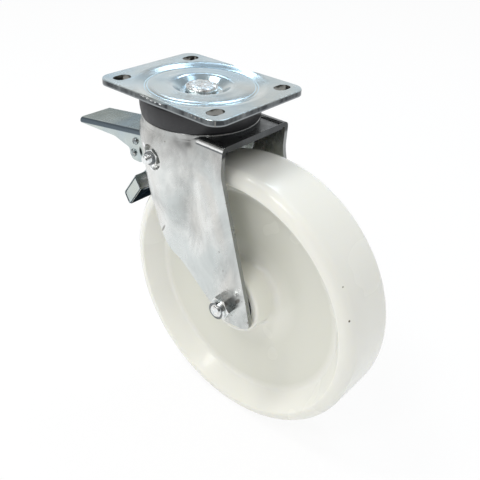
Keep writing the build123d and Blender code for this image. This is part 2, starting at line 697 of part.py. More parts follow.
def bearing_shields():
    """Thin discs that close both faces of each wheel bearing."""
    inner = BEARING_BORE_RADIUS + BEARING_INNER_WALL + SHIELD_GAP
    outer = BEARING_OUTER_RADIUS - BEARING_OUTER_WALL
    discs = []
    for start in (BEARING_INSIDE + SHIELD_INSET, HUB_HALF - SHIELD_INSET - SHIELD_THICKNESS):
        disc = tube_x(outer, inner, start, start + SHIELD_THICKNESS)
        discs += [disc, mirror(disc, Plane.YZ)]
    return Compound(children=discs).moved(AXLE)


def axle_sleeve():
    """Tube clamped between the legs; the bearings sit on it."""
    tube = tube_x(BEARING_BORE_RADIUS - FIT, AXLE_RADIUS + FIT, -LEG_INNER, LEG_INNER)
    return tube.moved(AXLE)


def bearing_spacer():
    """Tube between the inner rings of the two bearings."""
    tube = tube_x(BEARING_BORE_RADIUS + SPACER_WALL, BEARING_BORE_RADIUS + FIT,
                  -BEARING_INSIDE, BEARING_INSIDE)
    return tube.moved(AXLE)


def leg_spacers():
    """Short rings between each bearing and the leg beside it."""
    ring = tube_x(BEARING_BORE_RADIUS + SPACER_WALL, BEARING_BORE_RADIUS + FIT,
                  HUB_HALF, LEG_INNER)
    return both_sides(ring).moved(AXLE)


# ================================================================ brake
def pedal_top(y):
    """Height of the pedal's top line at a distance outwards."""
    drop = math.tan(math.radians(PEDAL_SLOPE)) * (y - PIVOT_Y)
    return PIVOT_Z + PEDAL_TOP_AT_PIVOT - drop


def brake_pedal():
    """Folded channel: flat foot plate with two side flanges that deepen inwards."""
    toe_top = pedal_top(PEDAL_END_Y)
    toe = (PEDAL_END_Y, toe_top - PEDAL_LIP)
    root_top = pedal_top(PEDAL_INNER_Y)
    rivet_y, rivet_z = RIVET_LOWER
    corners = [(rivet_y + y, rivet_z + z) for y, z, _ in PEDAL_FLANGE]
    with BuildSketch(Plane.YZ) as flange:
        with BuildLine():
            Polyline((PEDAL_INNER_Y, root_top), (PEDAL_END_Y, toe_top), toe, *corners,
                     (PEDAL_INNER_Y, root_top - PEDAL_ROOT), close=True)
        make_face()
        for (y, z), (_, _, radius) in zip(corners, PEDAL_FLANGE):
            fillet(flange.vertices().sort_by_distance((y, z, 0))[0], radius)
        fillet(flange.vertices().sort_by_distance((*toe, 0))[0], PEDAL_TOE_RADIUS)
    body = side_prism(flange.sketch, -PEDAL_HALF, PEDAL_HALF)
    top_face = body.faces().sort_by(Axis.Z)[-1]
    folds = top_face.edges().group_by(SortBy.LENGTH)[-1]
    body = fillet(folds, PEDAL_BEND_RADIUS)
    body -= below_pedal_line(PEDAL_INNER_Y - OVERCUT, PEDAL_SHEET, SHOE_HALF)
    return body - rivet_holes()


def below_pedal_line(start, depth, half):
    """Block below a line parallel to the pedal's top, from a distance outwards."""
    end = PEDAL_END_Y + OVERCUT
    with BuildSketch(Plane.YZ) as space:
        with BuildLine():
            Polyline((start, pedal_top(start) - depth), (end, pedal_top(end) - depth),
                     (end, AXLE_Z), (start, AXLE_Z), close=True)
        make_face()
    return side_prism(space.sketch, -half, half)


def rivet_holes():
    """Holes for the two cross rivets through pedal and shoe."""
    holes = [along_x(RIVET_SHANK_RADIUS + FIT, -PEDAL_WIDTH, PEDAL_WIDTH).moved(
        Location((0, y, z))) for y, z in (RIVET_UPPER, RIVET_LOWER)]
    return holes[0] + holes[1]


def brake_rivets():
    """Two long rivets that tie the shoe into the pedal, with domed heads."""
    rivets = []
    for (y, z), head in ((RIVET_UPPER, RIVET_UPPER_HEAD), (RIVET_LOWER, RIVET_LOWER_HEAD)):
        dome = turned([(0, 0), (head, 0), (head, RIVET_HEAD_EDGE),
                       (head * RIVET_CROWN_SHARE, RIVET_HEAD_HEIGHT), (0, RIVET_HEAD_HEIGHT)])
        dome = dome.moved(Location((PEDAL_HALF, 0, 0), (0, 90, 0)))
        shank = along_x(RIVET_SHANK_RADIUS, -PEDAL_HALF, PEDAL_HALF)
        rivet = shank + dome + mirror(dome, Plane.YZ)
        rivets.append(rivet.moved(Location((0, y, z))))
    return Compound(children=rivets)


def swung(y, z, degrees):
    """A point turned about the brake pivot, towards the pedal's lifted side."""
    angle = math.radians(degrees)
    dy = y - PIVOT_Y
    dz = z - PIVOT_Z
    return (PIVOT_Y + dy * math.cos(angle) - dz * math.sin(angle),
            PIVOT_Z + dy * math.sin(angle) + dz * math.cos(angle))


def brake_shoe():
    """Folded shoe: side plates on the pivot and a pad curved to the tread."""
    pad_inner = WHEEL_RADIUS + BRAKE_GAP
    middle = pad_inner + SHOE_SHEET / 2
    towards = math.degrees(math.atan2(PIVOT_Z - AXLE_Z, PIVOT_Y - AXLE_Y))
    ends = []
    for offset in (SHOE_START, SHOE_END):
        angle = math.radians(towards - offset)
        ends.append(swung(AXLE_Y + middle * math.cos(angle), AXLE_Z + middle * math.sin(angle),
                          BRAKE_TRAVEL))
    centre = swung(AXLE_Y, AXLE_Z, BRAKE_TRAVEL)
    with BuildSketch(Plane.YZ) as side:
        with Locations((PIVOT_Y, PIVOT_Z)):
            Circle(SHOE_LOBE)
        with Locations(*ends):
            Circle(SHOE_SHEET / 2)
        with Locations(RIVET_UPPER, RIVET_LOWER):
            Circle(SHOE_RIVET_LOBE)
        make_hull()
        with Locations(centre):
            Circle(pad_inner, mode=Mode.SUBTRACT)
    body = side_prism(side.sketch, -SHOE_HALF, SHOE_HALF)
    inner = SHOE_HALF - SHOE_SHEET
    backed = along_x(pad_inner + SHOE_SHEET, -PEDAL_WIDTH, PEDAL_WIDTH)
    body -= side_prism(side.sketch, -inner, inner) - backed.moved(Location((0, *centre)))
    front = PEDAL_INNER_Y - OVERCUT
    below = below_pedal_line(front, PEDAL_SHEET + SIDE_CLEARANCE, PEDAL_WIDTH)
    behind = Box(2 * PEDAL_WIDTH, PEDAL_END_Y, PEDAL_END_Y,
                 align=(Align.CENTER, Align.MAX, Align.CENTER))
    body &= below + behind.moved(Location((0, front, PIVOT_Z)))
    body -= along_x(SLEEVE_RADIUS + FIT, -PEDAL_WIDTH, PEDAL_WIDTH).moved(PIVOT)
    return body - rivet_holes()


def tray_outline(corner, length, depth):
    """Side view of the release pad's box, from its upper inner corner."""
    along = Vector(1, 0).rotate(Axis.Z, -TRAY_FALL) * length
    back = Vector(1, 0).rotate(Axis.Z, -TRAY_BACK_TURN) * depth
    return [corner, corner + along, corner + along + back, corner + back]


def release_tray():
    """Toe pad of the release lever: sloping plate, back wall and two side flanges."""
    corner = Vector(*TRAY_CORNER_UPPER)
    outline = tray_outline(corner, TRAY_LENGTH, TRAY_DEPTH)
    with BuildSketch(Plane.YZ) as box:
        with BuildLine():
            Polyline(*outline, close=True)
        make_face()
        for rounded in outline[1:3]:
            fillet(box.vertices().sort_by_distance(rounded)[0], TRAY_CORNER_RADIUS)
    along = Vector(1, 0).rotate(Axis.Z, -TRAY_FALL)
    inner_corner = corner + (along + along.rotate(Axis.Z, -90)) * RELEASE_SHEET
    with BuildSketch(Plane.YZ) as scoop:
        with BuildLine():
            Polyline(*tray_outline(inner_corner, 2 * TRAY_LENGTH, 2 * TRAY_DEPTH), close=True)
        make_face()
    side = PEDAL_HALF - RELEASE_SHEET
    return (side_prism(box.sketch, -PEDAL_HALF, PEDAL_HALF)
            - side_prism(scoop.sketch, -side, side))


def release_lever():
    """Folded lever: channel arm from the pivot to a tray-shaped toe pad."""
    corner, _, _, back_corner = tray_outline(Vector(*TRAY_CORNER_UPPER), TRAY_LENGTH, TRAY_DEPTH)
    pivot = Vector(PIVOT_Y, PIVOT_Z)
    neck = corner + (back_corner - corner) * (RELEASE_NECK / TRAY_DEPTH)
    with BuildSketch(Plane.YZ) as arm:
        with Locations(pivot):
            Circle(RELEASE_HUB)
        with Locations(neck):
            Circle(RELEASE_NECK)
        make_hull()
    body = side_prism(arm.sketch, -ARM_HALF, ARM_HALF)
    lowered = (neck - pivot).normalized().rotate(Axis.Z, -90) * RELEASE_SHEET
    inside = arm.sketch.moved(Location((0, lowered.X, lowered.Y)))
    inner = ARM_HALF - RELEASE_SHEET
    body -= side_prism(inside, -inner, inner)
    body += release_tray()
    return body - along_x(SLEEVE_RADIUS + FIT, -PEDAL_WIDTH, PEDAL_WIDTH).moved(PIVOT)


def pivot_sleeve():
    """Tube clamped across the drum; the brake parts swing on it."""
    tube = tube_x(SLEEVE_RADIUS, PIVOT_RADIUS + FIT, -SEAT_INNER, SEAT_INNER)
    return tube.moved(PIVOT)


def spring_washers():
    """Friction washers that hold the pedal where it is put."""
    start = SHOE_HALF + SIDE_CLEARANCE
    ring = tube_x(SPACER_RADIUS, SLEEVE_RADIUS + FIT, start, start + WASHER_THICKNESS)
    return both_sides(ring).moved(PIVOT)


def pivot_spacers():
    """Tubes that keep the brake parts in the middle of the drum."""
    start = SHOE_HALF + SIDE_CLEARANCE + WASHER_THICKNESS
    outer = tube_x(SPACER_RADIUS, SLEEVE_RADIUS + FIT, start, SEAT_INNER)
    inner = tube_x(SPACER_RADIUS - 1.0, SLEEVE_RADIUS + FIT, ARM_HALF + SIDE_CLEARANCE,
                   SHOE_HALF - SHOE_SHEET - SIDE_CLEARANCE)
    tubes = [outer, mirror(outer, Plane.YZ), inner, mirror(inner, Plane.YZ)]
    return Compound(children=tubes).moved(PIVOT)


NODES = {
    "top_plate": top_plate,
    "kingpin": kingpin,
    "bearing_cup": bearing_cup,
    "upper_balls": lambda: ball_ring(
        UPPER_BALL_RADIUS, UPPER_TRACK_RADIUS, UPPER_BALL_Z, UPPER_BALL_COUNT),
    "lower_balls": lambda: ball_ring(
        LOWER_BALL_RADIUS, LOWER_TRACK_RADIUS, LOWER_BALL_Z, LOWER_BALL_COUNT),
    "fork": fork,
    "upper_race": upper_race,
    "lower_race": lower_race,
    "swivel_seal": swivel_seal,
    "axle_bolt": axle_bolt,
    "axle_nut": axle_nut,
    "nylon_rings": nylon_rings,
    "axle_sleeve": axle_sleeve,
    "bearing_spacer": bearing_spacer,
    "leg_spacers": leg_spacers,
    "bearing_inner_rings": lambda: wheel_bearing_rings(
        BEARING_BORE_RADIUS + BEARING_INNER_WALL, BEARING_BORE_RADIUS),
    "wheel": wheel,
    "bearing_outer_rings": lambda: wheel_bearing_rings(
        BEARING_OUTER_RADIUS, BEARING_OUTER_RADIUS - BEARING_OUTER_WALL),
    "bearing_shields": bearing_shields,
    "bearing_balls": bearing_balls,
    "pivot_bolt": pivot_bolt,
    "pivot_nut": pivot_nut,
    "pivot_sleeve": pivot_sleeve,
    "pivot_spacers": pivot_spacers,
    "spring_washers": spring_washers,
    "brake_pedal": brake_pedal,
    "brake_shoe": brake_shoe,
    "brake_rivets": brake_rivets,
    "release_lever": release_lever,
}

os.makedirs("parts", exist_ok=True)
for name, make in NODES.items():
    export_step(make(), f"parts/{name}.step")
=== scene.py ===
"""Looks for a heavy swivel castor with a foot brake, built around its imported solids."""

import json
import logging
import math
from collections.abc import Mapping, Sequence
from dataclasses import dataclass
from enum import Enum
from functools import partial, reduce

import bmesh
import bpy
from mathutils import Matrix, Vector
from mathutils import noise as field_noise


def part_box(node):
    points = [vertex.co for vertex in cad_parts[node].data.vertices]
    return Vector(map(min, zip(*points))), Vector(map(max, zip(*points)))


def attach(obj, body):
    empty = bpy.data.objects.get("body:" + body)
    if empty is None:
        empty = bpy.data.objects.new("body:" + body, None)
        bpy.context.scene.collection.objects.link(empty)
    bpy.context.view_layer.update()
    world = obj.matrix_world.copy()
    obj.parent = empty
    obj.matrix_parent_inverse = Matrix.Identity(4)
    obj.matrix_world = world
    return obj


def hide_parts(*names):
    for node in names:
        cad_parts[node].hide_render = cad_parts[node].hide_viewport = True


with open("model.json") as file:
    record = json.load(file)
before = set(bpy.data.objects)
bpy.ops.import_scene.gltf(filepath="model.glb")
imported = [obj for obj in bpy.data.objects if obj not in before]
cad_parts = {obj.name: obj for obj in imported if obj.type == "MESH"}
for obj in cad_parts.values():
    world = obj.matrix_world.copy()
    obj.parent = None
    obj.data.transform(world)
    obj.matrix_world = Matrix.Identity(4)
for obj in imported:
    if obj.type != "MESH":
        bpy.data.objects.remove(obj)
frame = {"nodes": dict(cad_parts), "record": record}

MM = 0.001
WHITE = (1.0, 1.0, 1.0)
LOG = logging.getLogger("castor")

Colour = tuple[float, float, float]
Point = tuple[float, float, float]
Pair = tuple[float, float]
# the value at which a blend starts and the value at which it is full
Span = tuple[float, float]
Ring = list[Vector]
Socket = bpy.types.NodeSocket
Value = Socket | float | Sequence[float]

# the colour sockets of a Mix node, by number since their names repeat
MIX_FIRST, MIX_SECOND, MIX_RESULT = 6, 7, 2


# ---------------------------------------------------------------- shader helpers
@dataclass(frozen=True)
class Mark:
    """A local mark of wear or dirt, or of painted light or shade: an ellipsoid in millimetres,
    turned about X in degrees.
    """

    place: Point
    radii: Point
    turn: float = 0.0
    soft: float = 0.5


class Nodes:
    """A material's or a world's node tree, with short calls for adding and joining nodes."""

    def __init__(self, owner: bpy.types.Material | bpy.types.World) -> None:
        """Empties the owner's node tree.

        Args:
            owner: The new material or world.
        """
        owner.use_nodes = True
        self.tree = owner.node_tree
        self.tree.nodes.clear()

    def put(self, target: Socket, value: Value) -> None:
        """Links a socket into an input, or sets a constant on it.

        Args:
            target: The input.
            value: The socket or the constant; a colour has three numbers.
        """
        if isinstance(value, Socket):
            self.tree.links.new(value, target)
        else:
            target.default_value = (*value, 1.0) if target.type == "RGBA" else value

    def add(self, kind: str, values: Mapping[str | int, Value] | None = None,
            **options: str) -> bpy.types.Node:
        """Adds a node.

        Args:
            kind: The node's type, without the word that all types start with.
            values: What goes into its inputs, by name or number.
            options: The node's own settings.

        Returns:
            The node.
        """
        node = self.tree.nodes.new("ShaderNode" + kind)
        for name, option in options.items():
            setattr(node, name, option)
        for key, value in (values or {}).items():
            self.put(node.inputs[key], value)
        return node

    def axis(self, source: Socket, letter: str) -> Socket:
        """One component of a vector."""
        return self.add("SeparateXYZ", {0: source}).outputs[letter]

    def math(self, kind: str, first: Socket, second: Socket | float = 0.0) -> Socket:
        """One step of arithmetic on a socket and a socket or number."""
        return self.add("Math", {0: first, 1: second}, operation=kind).outputs[0]

    def spread(self, value: Socket, low: float, high: float,
               to_low: float = 0.0, to_high: float = 1.0) -> Socket:
        """A value's range from low to high, carried to another range and clamped."""
        return self.add("MapRange", {"Value": value, "From Min": low, "From Max": high,
                                     "To Min": to_low, "To Max": to_high}).outputs[0]

    def blend(self, share: Socket, first: Colour | Socket, second: Colour | Socket) -> Socket:
        """Mixes two colours by a share from 0 to 1."""
        values = {"Factor": share, MIX_FIRST: first, MIX_SECOND: second}
        return self.add("Mix", values, data_type="RGBA").outputs[MIX_RESULT]

    def layer(self, share: Socket, under: Socket, over: Socket) -> Socket:
        """Mixes two shaders by a share from 0 to 1."""
        return self.add("MixShader", {0: share, 1: under, 2: over}).outputs[0]


class NodeSheet(Nodes):
    """A material with its surface shader and the patterns that the finishes are made of."""

    def __init__(self, name: str, **constants: float | Colour) -> None:
        """Starts the material.

        Args:
            name: The material's name.
            constants: Constants of the shader, by socket name with underscores.
        """
        self.material = bpy.data.materials.new(name)
        super().__init__(self.material)
        self.shader = self.add("BsdfPrincipled", {socket.replace("_", " "): value
                                                  for socket, value in constants.items()})
        self.add("OutputMaterial", {"Surface": self.shader.outputs[0]})
        self.place = self.add("TexCoord").outputs["Object"]

    def feed(self, name: str, source: Socket) -> None:
        """Links a pattern into a socket of the surface shader."""
        self.put(self.shader.inputs[name], source)

    def noise(self, scale: float, detail: float = 4.0, rough: float = 0.55,
              stretch: Point = (1, 1, 1), twist: float = 0.0,
              place: Socket | None = None) -> Socket:
        """Soft random pattern.

        Args:
            scale: Cells per metre.
            detail: Number of finer layers.
            rough: Strength of the finer layers.
            stretch: How many times finer it is along X, Y and Z.
            twist: How far the pattern is distorted.
            place: Coordinates to use in place of the object's own.

        Returns:
            The socket of its value, about 0.3 to 0.7.
        """
        place = place or self.add("Mapping", {"Vector": self.place, "Scale": stretch}).outputs[0]
        return self.add("TexNoise", {"Vector": place, "Scale": scale, "Detail": detail,
                                     "Roughness": rough, "Distortion": twist}).outputs["Fac"]

    def rings(self, radius: Socket, scale: float, rough: float) -> Socket:
        """Random rings round an axis, from the distance to it."""
        return self.noise(scale, 3.0, rough, place=self.add("CombineXYZ", {0: radius}).outputs[0])

    def bump(self, height: Socket, depth: float) -> None:
        """Adds surface relief on top of any already there.

        Args:
            height: The pattern.
            depth: Its height in metres.
        """
        relief = self.add("Bump", {"Distance": depth, "Height": height})
        normal = self.shader.inputs["Normal"]
        if normal.is_linked:
            self.put(relief.inputs["Normal"], normal.links[0].from_socket)
        self.put(normal, relief.outputs[0])

    def facing(self, letter: str) -> Socket:
        """How far the surface faces along one of the object's axes, from -1 to 1."""
        return self.axis(self.add("NewGeometry").outputs["Normal"], letter)

    def away(self, letter: str) -> Socket:
        """Distance from the object's middle plane across one axis."""
        return self.math("ABSOLUTE", self.axis(self.place, letter))

    def times(self, *values: Socket | float) -> Socket:
        """Product of several values, the first of them a socket."""
        return reduce(partial(self.math, "MULTIPLY"), values)

    def least(self, *values: Socket) -> Socket:
        """The smallest of several values."""
        return reduce(partial(self.math, "MINIMUM"), values)

    def length(self, source: Socket) -> Socket:
        """A vector's length."""
        return self.add("VectorMath", {0: source}, operation="LENGTH").outputs["Value"]

    def around(self, centre: Point, flatten: Point) -> Socket:
        """Distance in metres from an axis through a point, for turned and spun patterns.

        Args:
            centre: A point on the axis.
            flatten: 1 for the two directions that are measured, 0 along the axis.

        Returns:
            The socket of the distance.
        """
        shift = [-c * f for c, f in zip(centre, flatten)]
        return self.length(self.add("Mapping", {"Vector": self.place, "Location": shift,
                                                "Scale": flatten}).outputs[0])

    def mark(self, spot: Mark) -> Socket:
        """Share of a local mark: 1 inside it, 0 outside, with a soft edge.

        Args:
            spot: The mark.

        Returns:
            The socket of the share.
        """
        values = {"Vector": self.place, "Location": [value * MM for value in spot.place],
                  "Rotation": (math.radians(spot.turn), 0, 0),
                  "Scale": [value * MM for value in spot.radii]}
        inside = self.add("Mapping", values, vector_type="TEXTURE").outputs[0]
        return self.spread(self.length(inside), 1.0 - spot.soft, 1.0, 1.0, 0.0)

    def marks(self, spots: Sequence[Mark]) -> Socket:
        """Share of several local marks together."""
        return reduce(partial(self.math, "MAXIMUM"), map(self.mark, spots))


# ---------------------------------------------------------------- finishes
@dataclass(frozen=True, kw_only=True)
class ZincFinish:
    """Zinc-plated steel: bright mottled metal with tints, streaks, stains, fine relief, and local
    marks of wear, of painted light and of painted shade.
    """

    name: str
    light: Colour
    dark: Colour
    warm: Colour = (0.66, 0.64, 0.60)
    cool: Colour = (0.56, 0.62, 0.62)
    tint: float = 0.75
    # colour of the real specks and of the dark marks; some dark marks on the fork and the brake are
    # painted shade
    stain_and_shade: Colour = (0.30, 0.29, 0.27)
    stain_share: float = 0.2
    # colour of the painted light marks: painted glints and highlights, and places lifted out of
    # shade
    painted_light: Colour = (0.98, 0.99, 1.0)
    # scale of the patches, and how many times finer hue, wear and specks are
    patch: float = 32.0
    finer_hue: float = 0.55
    finer_wear: float = 1.7
    finer_specks: float = 7.0
    streak: Point = (1.0, 1.0, 1.0)
    smooth: float = 0.20
    rough: float = 0.40
    relief_scale: float = 90.0
    relief: float = 0.0003
    grain: float = 0.00002
    graze: Colour = WHITE
    patch_span: Span = (0.34, 0.62)
    warm_span: Span = (0.50, 0.68)
    cool_span: Span = (0.50, 0.34)
    stain_span: Span = (0.62, 0.74)
    wear_span: Span = (0.34, 0.66)
    dirt_and_shade_marks: tuple[Mark, ...] = ()
    painted_light_marks: tuple[Mark, ...] = ()

    def material(self) -> bpy.types.Material:
        """Builds the finish's material.

        Returns:
            The material.
        """
        sheet = NodeSheet(self.name, Metallic=1.0, Specular_Tint=self.graze)
        tone = self.tone(sheet)
        # dark marks: real wear dots and dents, and on the fork and the brake also painted shade
        if self.dirt_and_shade_marks:
            tone = sheet.blend(sheet.marks(self.dirt_and_shade_marks), tone, self.stain_and_shade)
        # painted light: glints and highlights, and places lifted out of shade
        if self.painted_light_marks:
            tone = sheet.blend(sheet.marks(self.painted_light_marks), tone, self.painted_light)
        sheet.feed("Base Color", tone)
        wear = sheet.noise(self.patch * self.finer_wear, 6.0, 0.6, self.streak)
        sheet.feed("Roughness", sheet.spread(wear, *self.wear_span, self.smooth, self.rough))
        self.surface(sheet)
        return sheet.material

    def tone(self, sheet: NodeSheet) -> Socket:
        """Colour of the plating: light and dark patches, warm and cool tints, stains.

        Args:
            sheet: The material in the making.

        Returns:
            The socket of the colour.
        """
        patches = sheet.noise(self.patch, 7.0, 0.62, self.streak, 0.5)
        tone = sheet.blend(sheet.spread(patches, *self.patch_span), self.dark, self.light)
        hue = sheet.noise(self.patch * self.finer_hue, 3.0, 0.5, self.streak, 0.8)
        tone = sheet.blend(sheet.spread(hue, *self.warm_span, 0.0, self.tint), tone, self.warm)
        tone = sheet.blend(sheet.spread(hue, *self.cool_span, 0.0, self.tint), tone, self.cool)
        specks = sheet.noise(self.patch * self.finer_specks, 8.0, 0.78)
        spots = sheet.spread(specks, *self.stain_span, 0.0, self.stain_share)
        return sheet.blend(spots, tone, self.stain_and_shade)

    def surface(self, sheet: NodeSheet) -> None:
        """Adds the plating's soft waviness and fine grain."""
        sheet.bump(sheet.noise(self.relief_scale, 3.0, 0.5), self.relief)
        sheet.bump(sheet.noise(2600.0, 2.0, 0.6), self.grain)


@dataclass(frozen=True, kw_only=True)
class PressedPlateFinish(ZincFinish):
    """Zinc on the pressed plate: spun sheen round the dish, sheared edges, painted highlight lines
    along the groove and painted shade underneath.
    """

    ring_scale: float = 420.0
    ring_relief: float = 0.000012
    shear: Colour = (0.05, 0.055, 0.06)
    sheared_light: Colour = (0.20, 0.215, 0.22)
    shear_span: Span = (0.38, 0.66)
    torn: Colour = (0.30, 0.32, 0.33)
    torn_span: Span = (-0.0036, -0.0044)
    bore: Colour = (0.25, 0.25, 0.235)
    slot_reach: Pair = (0.0525, 0.0640)
    slot_blur: float = 0.0005
    groove_line: float = 0.0458
    groove_edge: float = 0.0011
    # painted highlight: light lines along both edges of the groove
    groove_highlight: Colour = (0.62, 0.86, 1.0)
    highlight_share: float = 0.75
    highlight_span: Span = (0.0005, 0.0002)
    groove_span: Span = (0.0014, 0.0004)
    groove_relief: float = 0.00035
    edge_facing: Span = (0.50, 0.25)
    # painted shade on the plate's underside
    underside_shade: Colour = (0.16, 0.16, 0.15)
    under_facing: Span = (-0.3, -0.6)

    def tone(self, sheet: NodeSheet) -> Socket:
        """Plating on the faces with painted highlight lines along the groove; darker, streaked
        shear on the edges and in the slots; painted shade on the underside.

        Args:
            sheet: The material in the making.

        Returns:
            The socket of the colour.
        """
        tone = super().tone(sheet)
        # painted highlight lines along the groove's edges
        off_edge = sheet.math("SUBTRACT", self.off_groove(sheet), self.groove_edge)
        painted_highlight = sheet.spread(sheet.math("ABSOLUTE", off_edge), *self.highlight_span)
        tone = sheet.blend(sheet.times(painted_highlight, self.highlight_share), tone, self.groove_highlight)
        facing = sheet.facing("Z")
        edge = sheet.spread(sheet.math("ABSOLUTE", facing), *self.edge_facing)
        tone = sheet.blend(edge, tone, self.sheared(sheet))
        # painted shade on faces turned downward
        return sheet.blend(sheet.spread(facing, *self.under_facing), tone, self.underside_shade)

    def sheared(self, sheet: NodeSheet) -> Socket:
        """Colour of the sheared edges: streaked, torn below, smooth in the slots.

        Args:
            sheet: The material in the making.

        Returns:
            The socket of the colour.
        """
        streaks = sheet.noise(110.0, 5.0, 0.65, (1, 1, 0.2))
        tone = sheet.blend(sheet.spread(streaks, *self.shear_span), self.shear,
                           self.sheared_light)
        torn = sheet.spread(sheet.axis(sheet.place, "Z"), *self.torn_span)
        tone = sheet.blend(torn, tone, self.torn)
        inside = sheet.least(*(sheet.spread(sheet.away(letter), reach, reach - self.slot_blur)
                               for letter, reach in zip("XY", self.slot_reach)))
        return sheet.blend(inside, tone, self.bore)

    def off_groove(self, sheet: NodeSheet) -> Socket:
        """Distance in metres from the middle of the groove."""
        radius = sheet.around((0, 0, 0), (1, 1, 0))
        return sheet.math("ABSOLUTE", sheet.math("SUBTRACT", radius, self.groove_line))

    def surface(self, sheet: NodeSheet) -> None:
        """Adds fine rings round the middle and the groove's line to the plating's relief.

        Args:
            sheet: The material in the making.
        """
        super().surface(sheet)
        rings = sheet.rings(sheet.around((0, 0, 0), (1, 1, 0)), self.ring_scale, 0.6)
        sheet.bump(rings, self.ring_relief)
        groove = sheet.spread(self.off_groove(sheet), *self.groove_span)
        sheet.bump(groove, self.groove_relief)


@dataclass(frozen=True, kw_only=True)
class DrawnForkFinish(ZincFinish):
    """Zinc on the drawn fork: painted shade on the drum, the crown and its back faces, a painted
    highlight on each ridge, and dull cut edges.
    """

    # painted shade on the upper fork below the seal, patchy, fading downward
    drum_shade: Colour = (0.33, 0.33, 0.325)
    drum_shade_share: float = 0.92
    drum_shade_reach: float = -0.062
    cloud_span: Span = (0.36, 0.58)
    thin_drum_shade: float = 0.25
    # painted dark reflection on faces turned upward, also used for the line at each ridge's foot
    crown: Colour = (0.17, 0.18, 0.19)
    crown_shade_share: float = 0.8
    crown_facing: Span = (0.55, 0.85)
    crown_under: float = -0.034
    # painted highlight on the ridge over each leg
    ridge: Colour = (0.97, 0.98, 0.97)
    # tilts at which a band starts, is full, fades and ends
    ridge_tilt: tuple[float, ...] = (0.26, 0.34, 0.76, 0.84)
    foot_tilt: tuple[float, ...] = (0.05, 0.12, 0.24, 0.30)
    ridge_along_x: Span = (0.031, 0.032)
    ridge_along_y: Span = (-0.0325, -0.0345)
    ridge_along_z: Span = (-0.040, -0.038)
    # painted dark reflection on the crown's faces turned backward
    rear_shade: Colour = (0.03, 0.033, 0.036)
    rear_shade_share: float = 0.9
    rear_facing: Span = (-0.75, -0.9)
    rear_along_z: Span = (-0.038, -0.035)
    edge: Colour = (0.27, 0.28, 0.28)
    edge_share: float = 0.85
    edge_facing: Span = (0.45, 0.25)
    edge_along_x: Span = (0.0327, 0.033)
    edge_along_z: Span = (-0.034, -0.036)

    def tone(self, sheet: NodeSheet) -> Socket:
        """Plating with painted shade and painted highlights, and darker cut edges.

        Args:
            sheet: The material in the making.

        Returns:
            The socket of the colour.
        """
        tone = super().tone(sheet)
        height = sheet.axis(sheet.place, "Z")
        # painted shade, patchy, fading downward from below the seal
        cloud = sheet.spread(sheet.noise(38.0, 5.0, 0.6, (1, 1, 0.5), 0.6), *self.cloud_span,
                             self.thin_drum_shade, 1.0)
        low = sheet.spread(height, self.drum_shade_reach, self.crown_under)
        tone = sheet.blend(sheet.times(low, cloud, self.drum_shade_share), tone, self.drum_shade)
        # painted dark reflection on faces turned upward
        top = sheet.spread(sheet.facing("Z"), *self.crown_facing, 0.0, self.crown_shade_share)
        tone = sheet.blend(top, tone, self.crown)
        tone = self.ridged(sheet, tone)
        # painted dark reflection on faces turned backward, up by the crown
        painted_rear_shade = sheet.times(sheet.spread(sheet.facing("Y"), *self.rear_facing),
                             sheet.spread(height, *self.rear_along_z), self.rear_shade_share)
        tone = sheet.blend(painted_rear_shade, tone, self.rear_shade)
        thin = sheet.spread(sheet.math("ABSOLUTE", sheet.facing("X")), *self.edge_facing)
        cut = sheet.least(thin, sheet.spread(sheet.away("X"), *self.edge_along_x),
                          sheet.spread(height, *self.edge_along_z))
        return sheet.blend(sheet.times(cut, self.edge_share), tone, self.edge)

    def ridged(self, sheet: NodeSheet, tone: Socket) -> Socket:
        """Adds a painted highlight on the ridge over each leg, with a line of painted shade at its
        foot.

        Args:
            sheet: The material in the making.
            tone: The colour without the ridges.

        Returns:
            The socket of the colour.
        """
        over_leg = sheet.times(sheet.spread(sheet.away("X"), *self.ridge_along_x),
                               sheet.spread(sheet.axis(sheet.place, "Z"), *self.ridge_along_z),
                               sheet.spread(sheet.axis(sheet.place, "Y"), *self.ridge_along_y))
        tilt = sheet.facing("Z")
        # painted shade at each ridge's foot, then the painted highlight on its crest
        for (start, full, fade, end), colour in ((self.foot_tilt, self.crown),
                                                 (self.ridge_tilt, self.ridge)):
            band = sheet.least(sheet.spread(tilt, start, full), sheet.spread(tilt, end, fade))
            tone = sheet.blend(sheet.times(band, over_leg), tone, colour)
        return tone


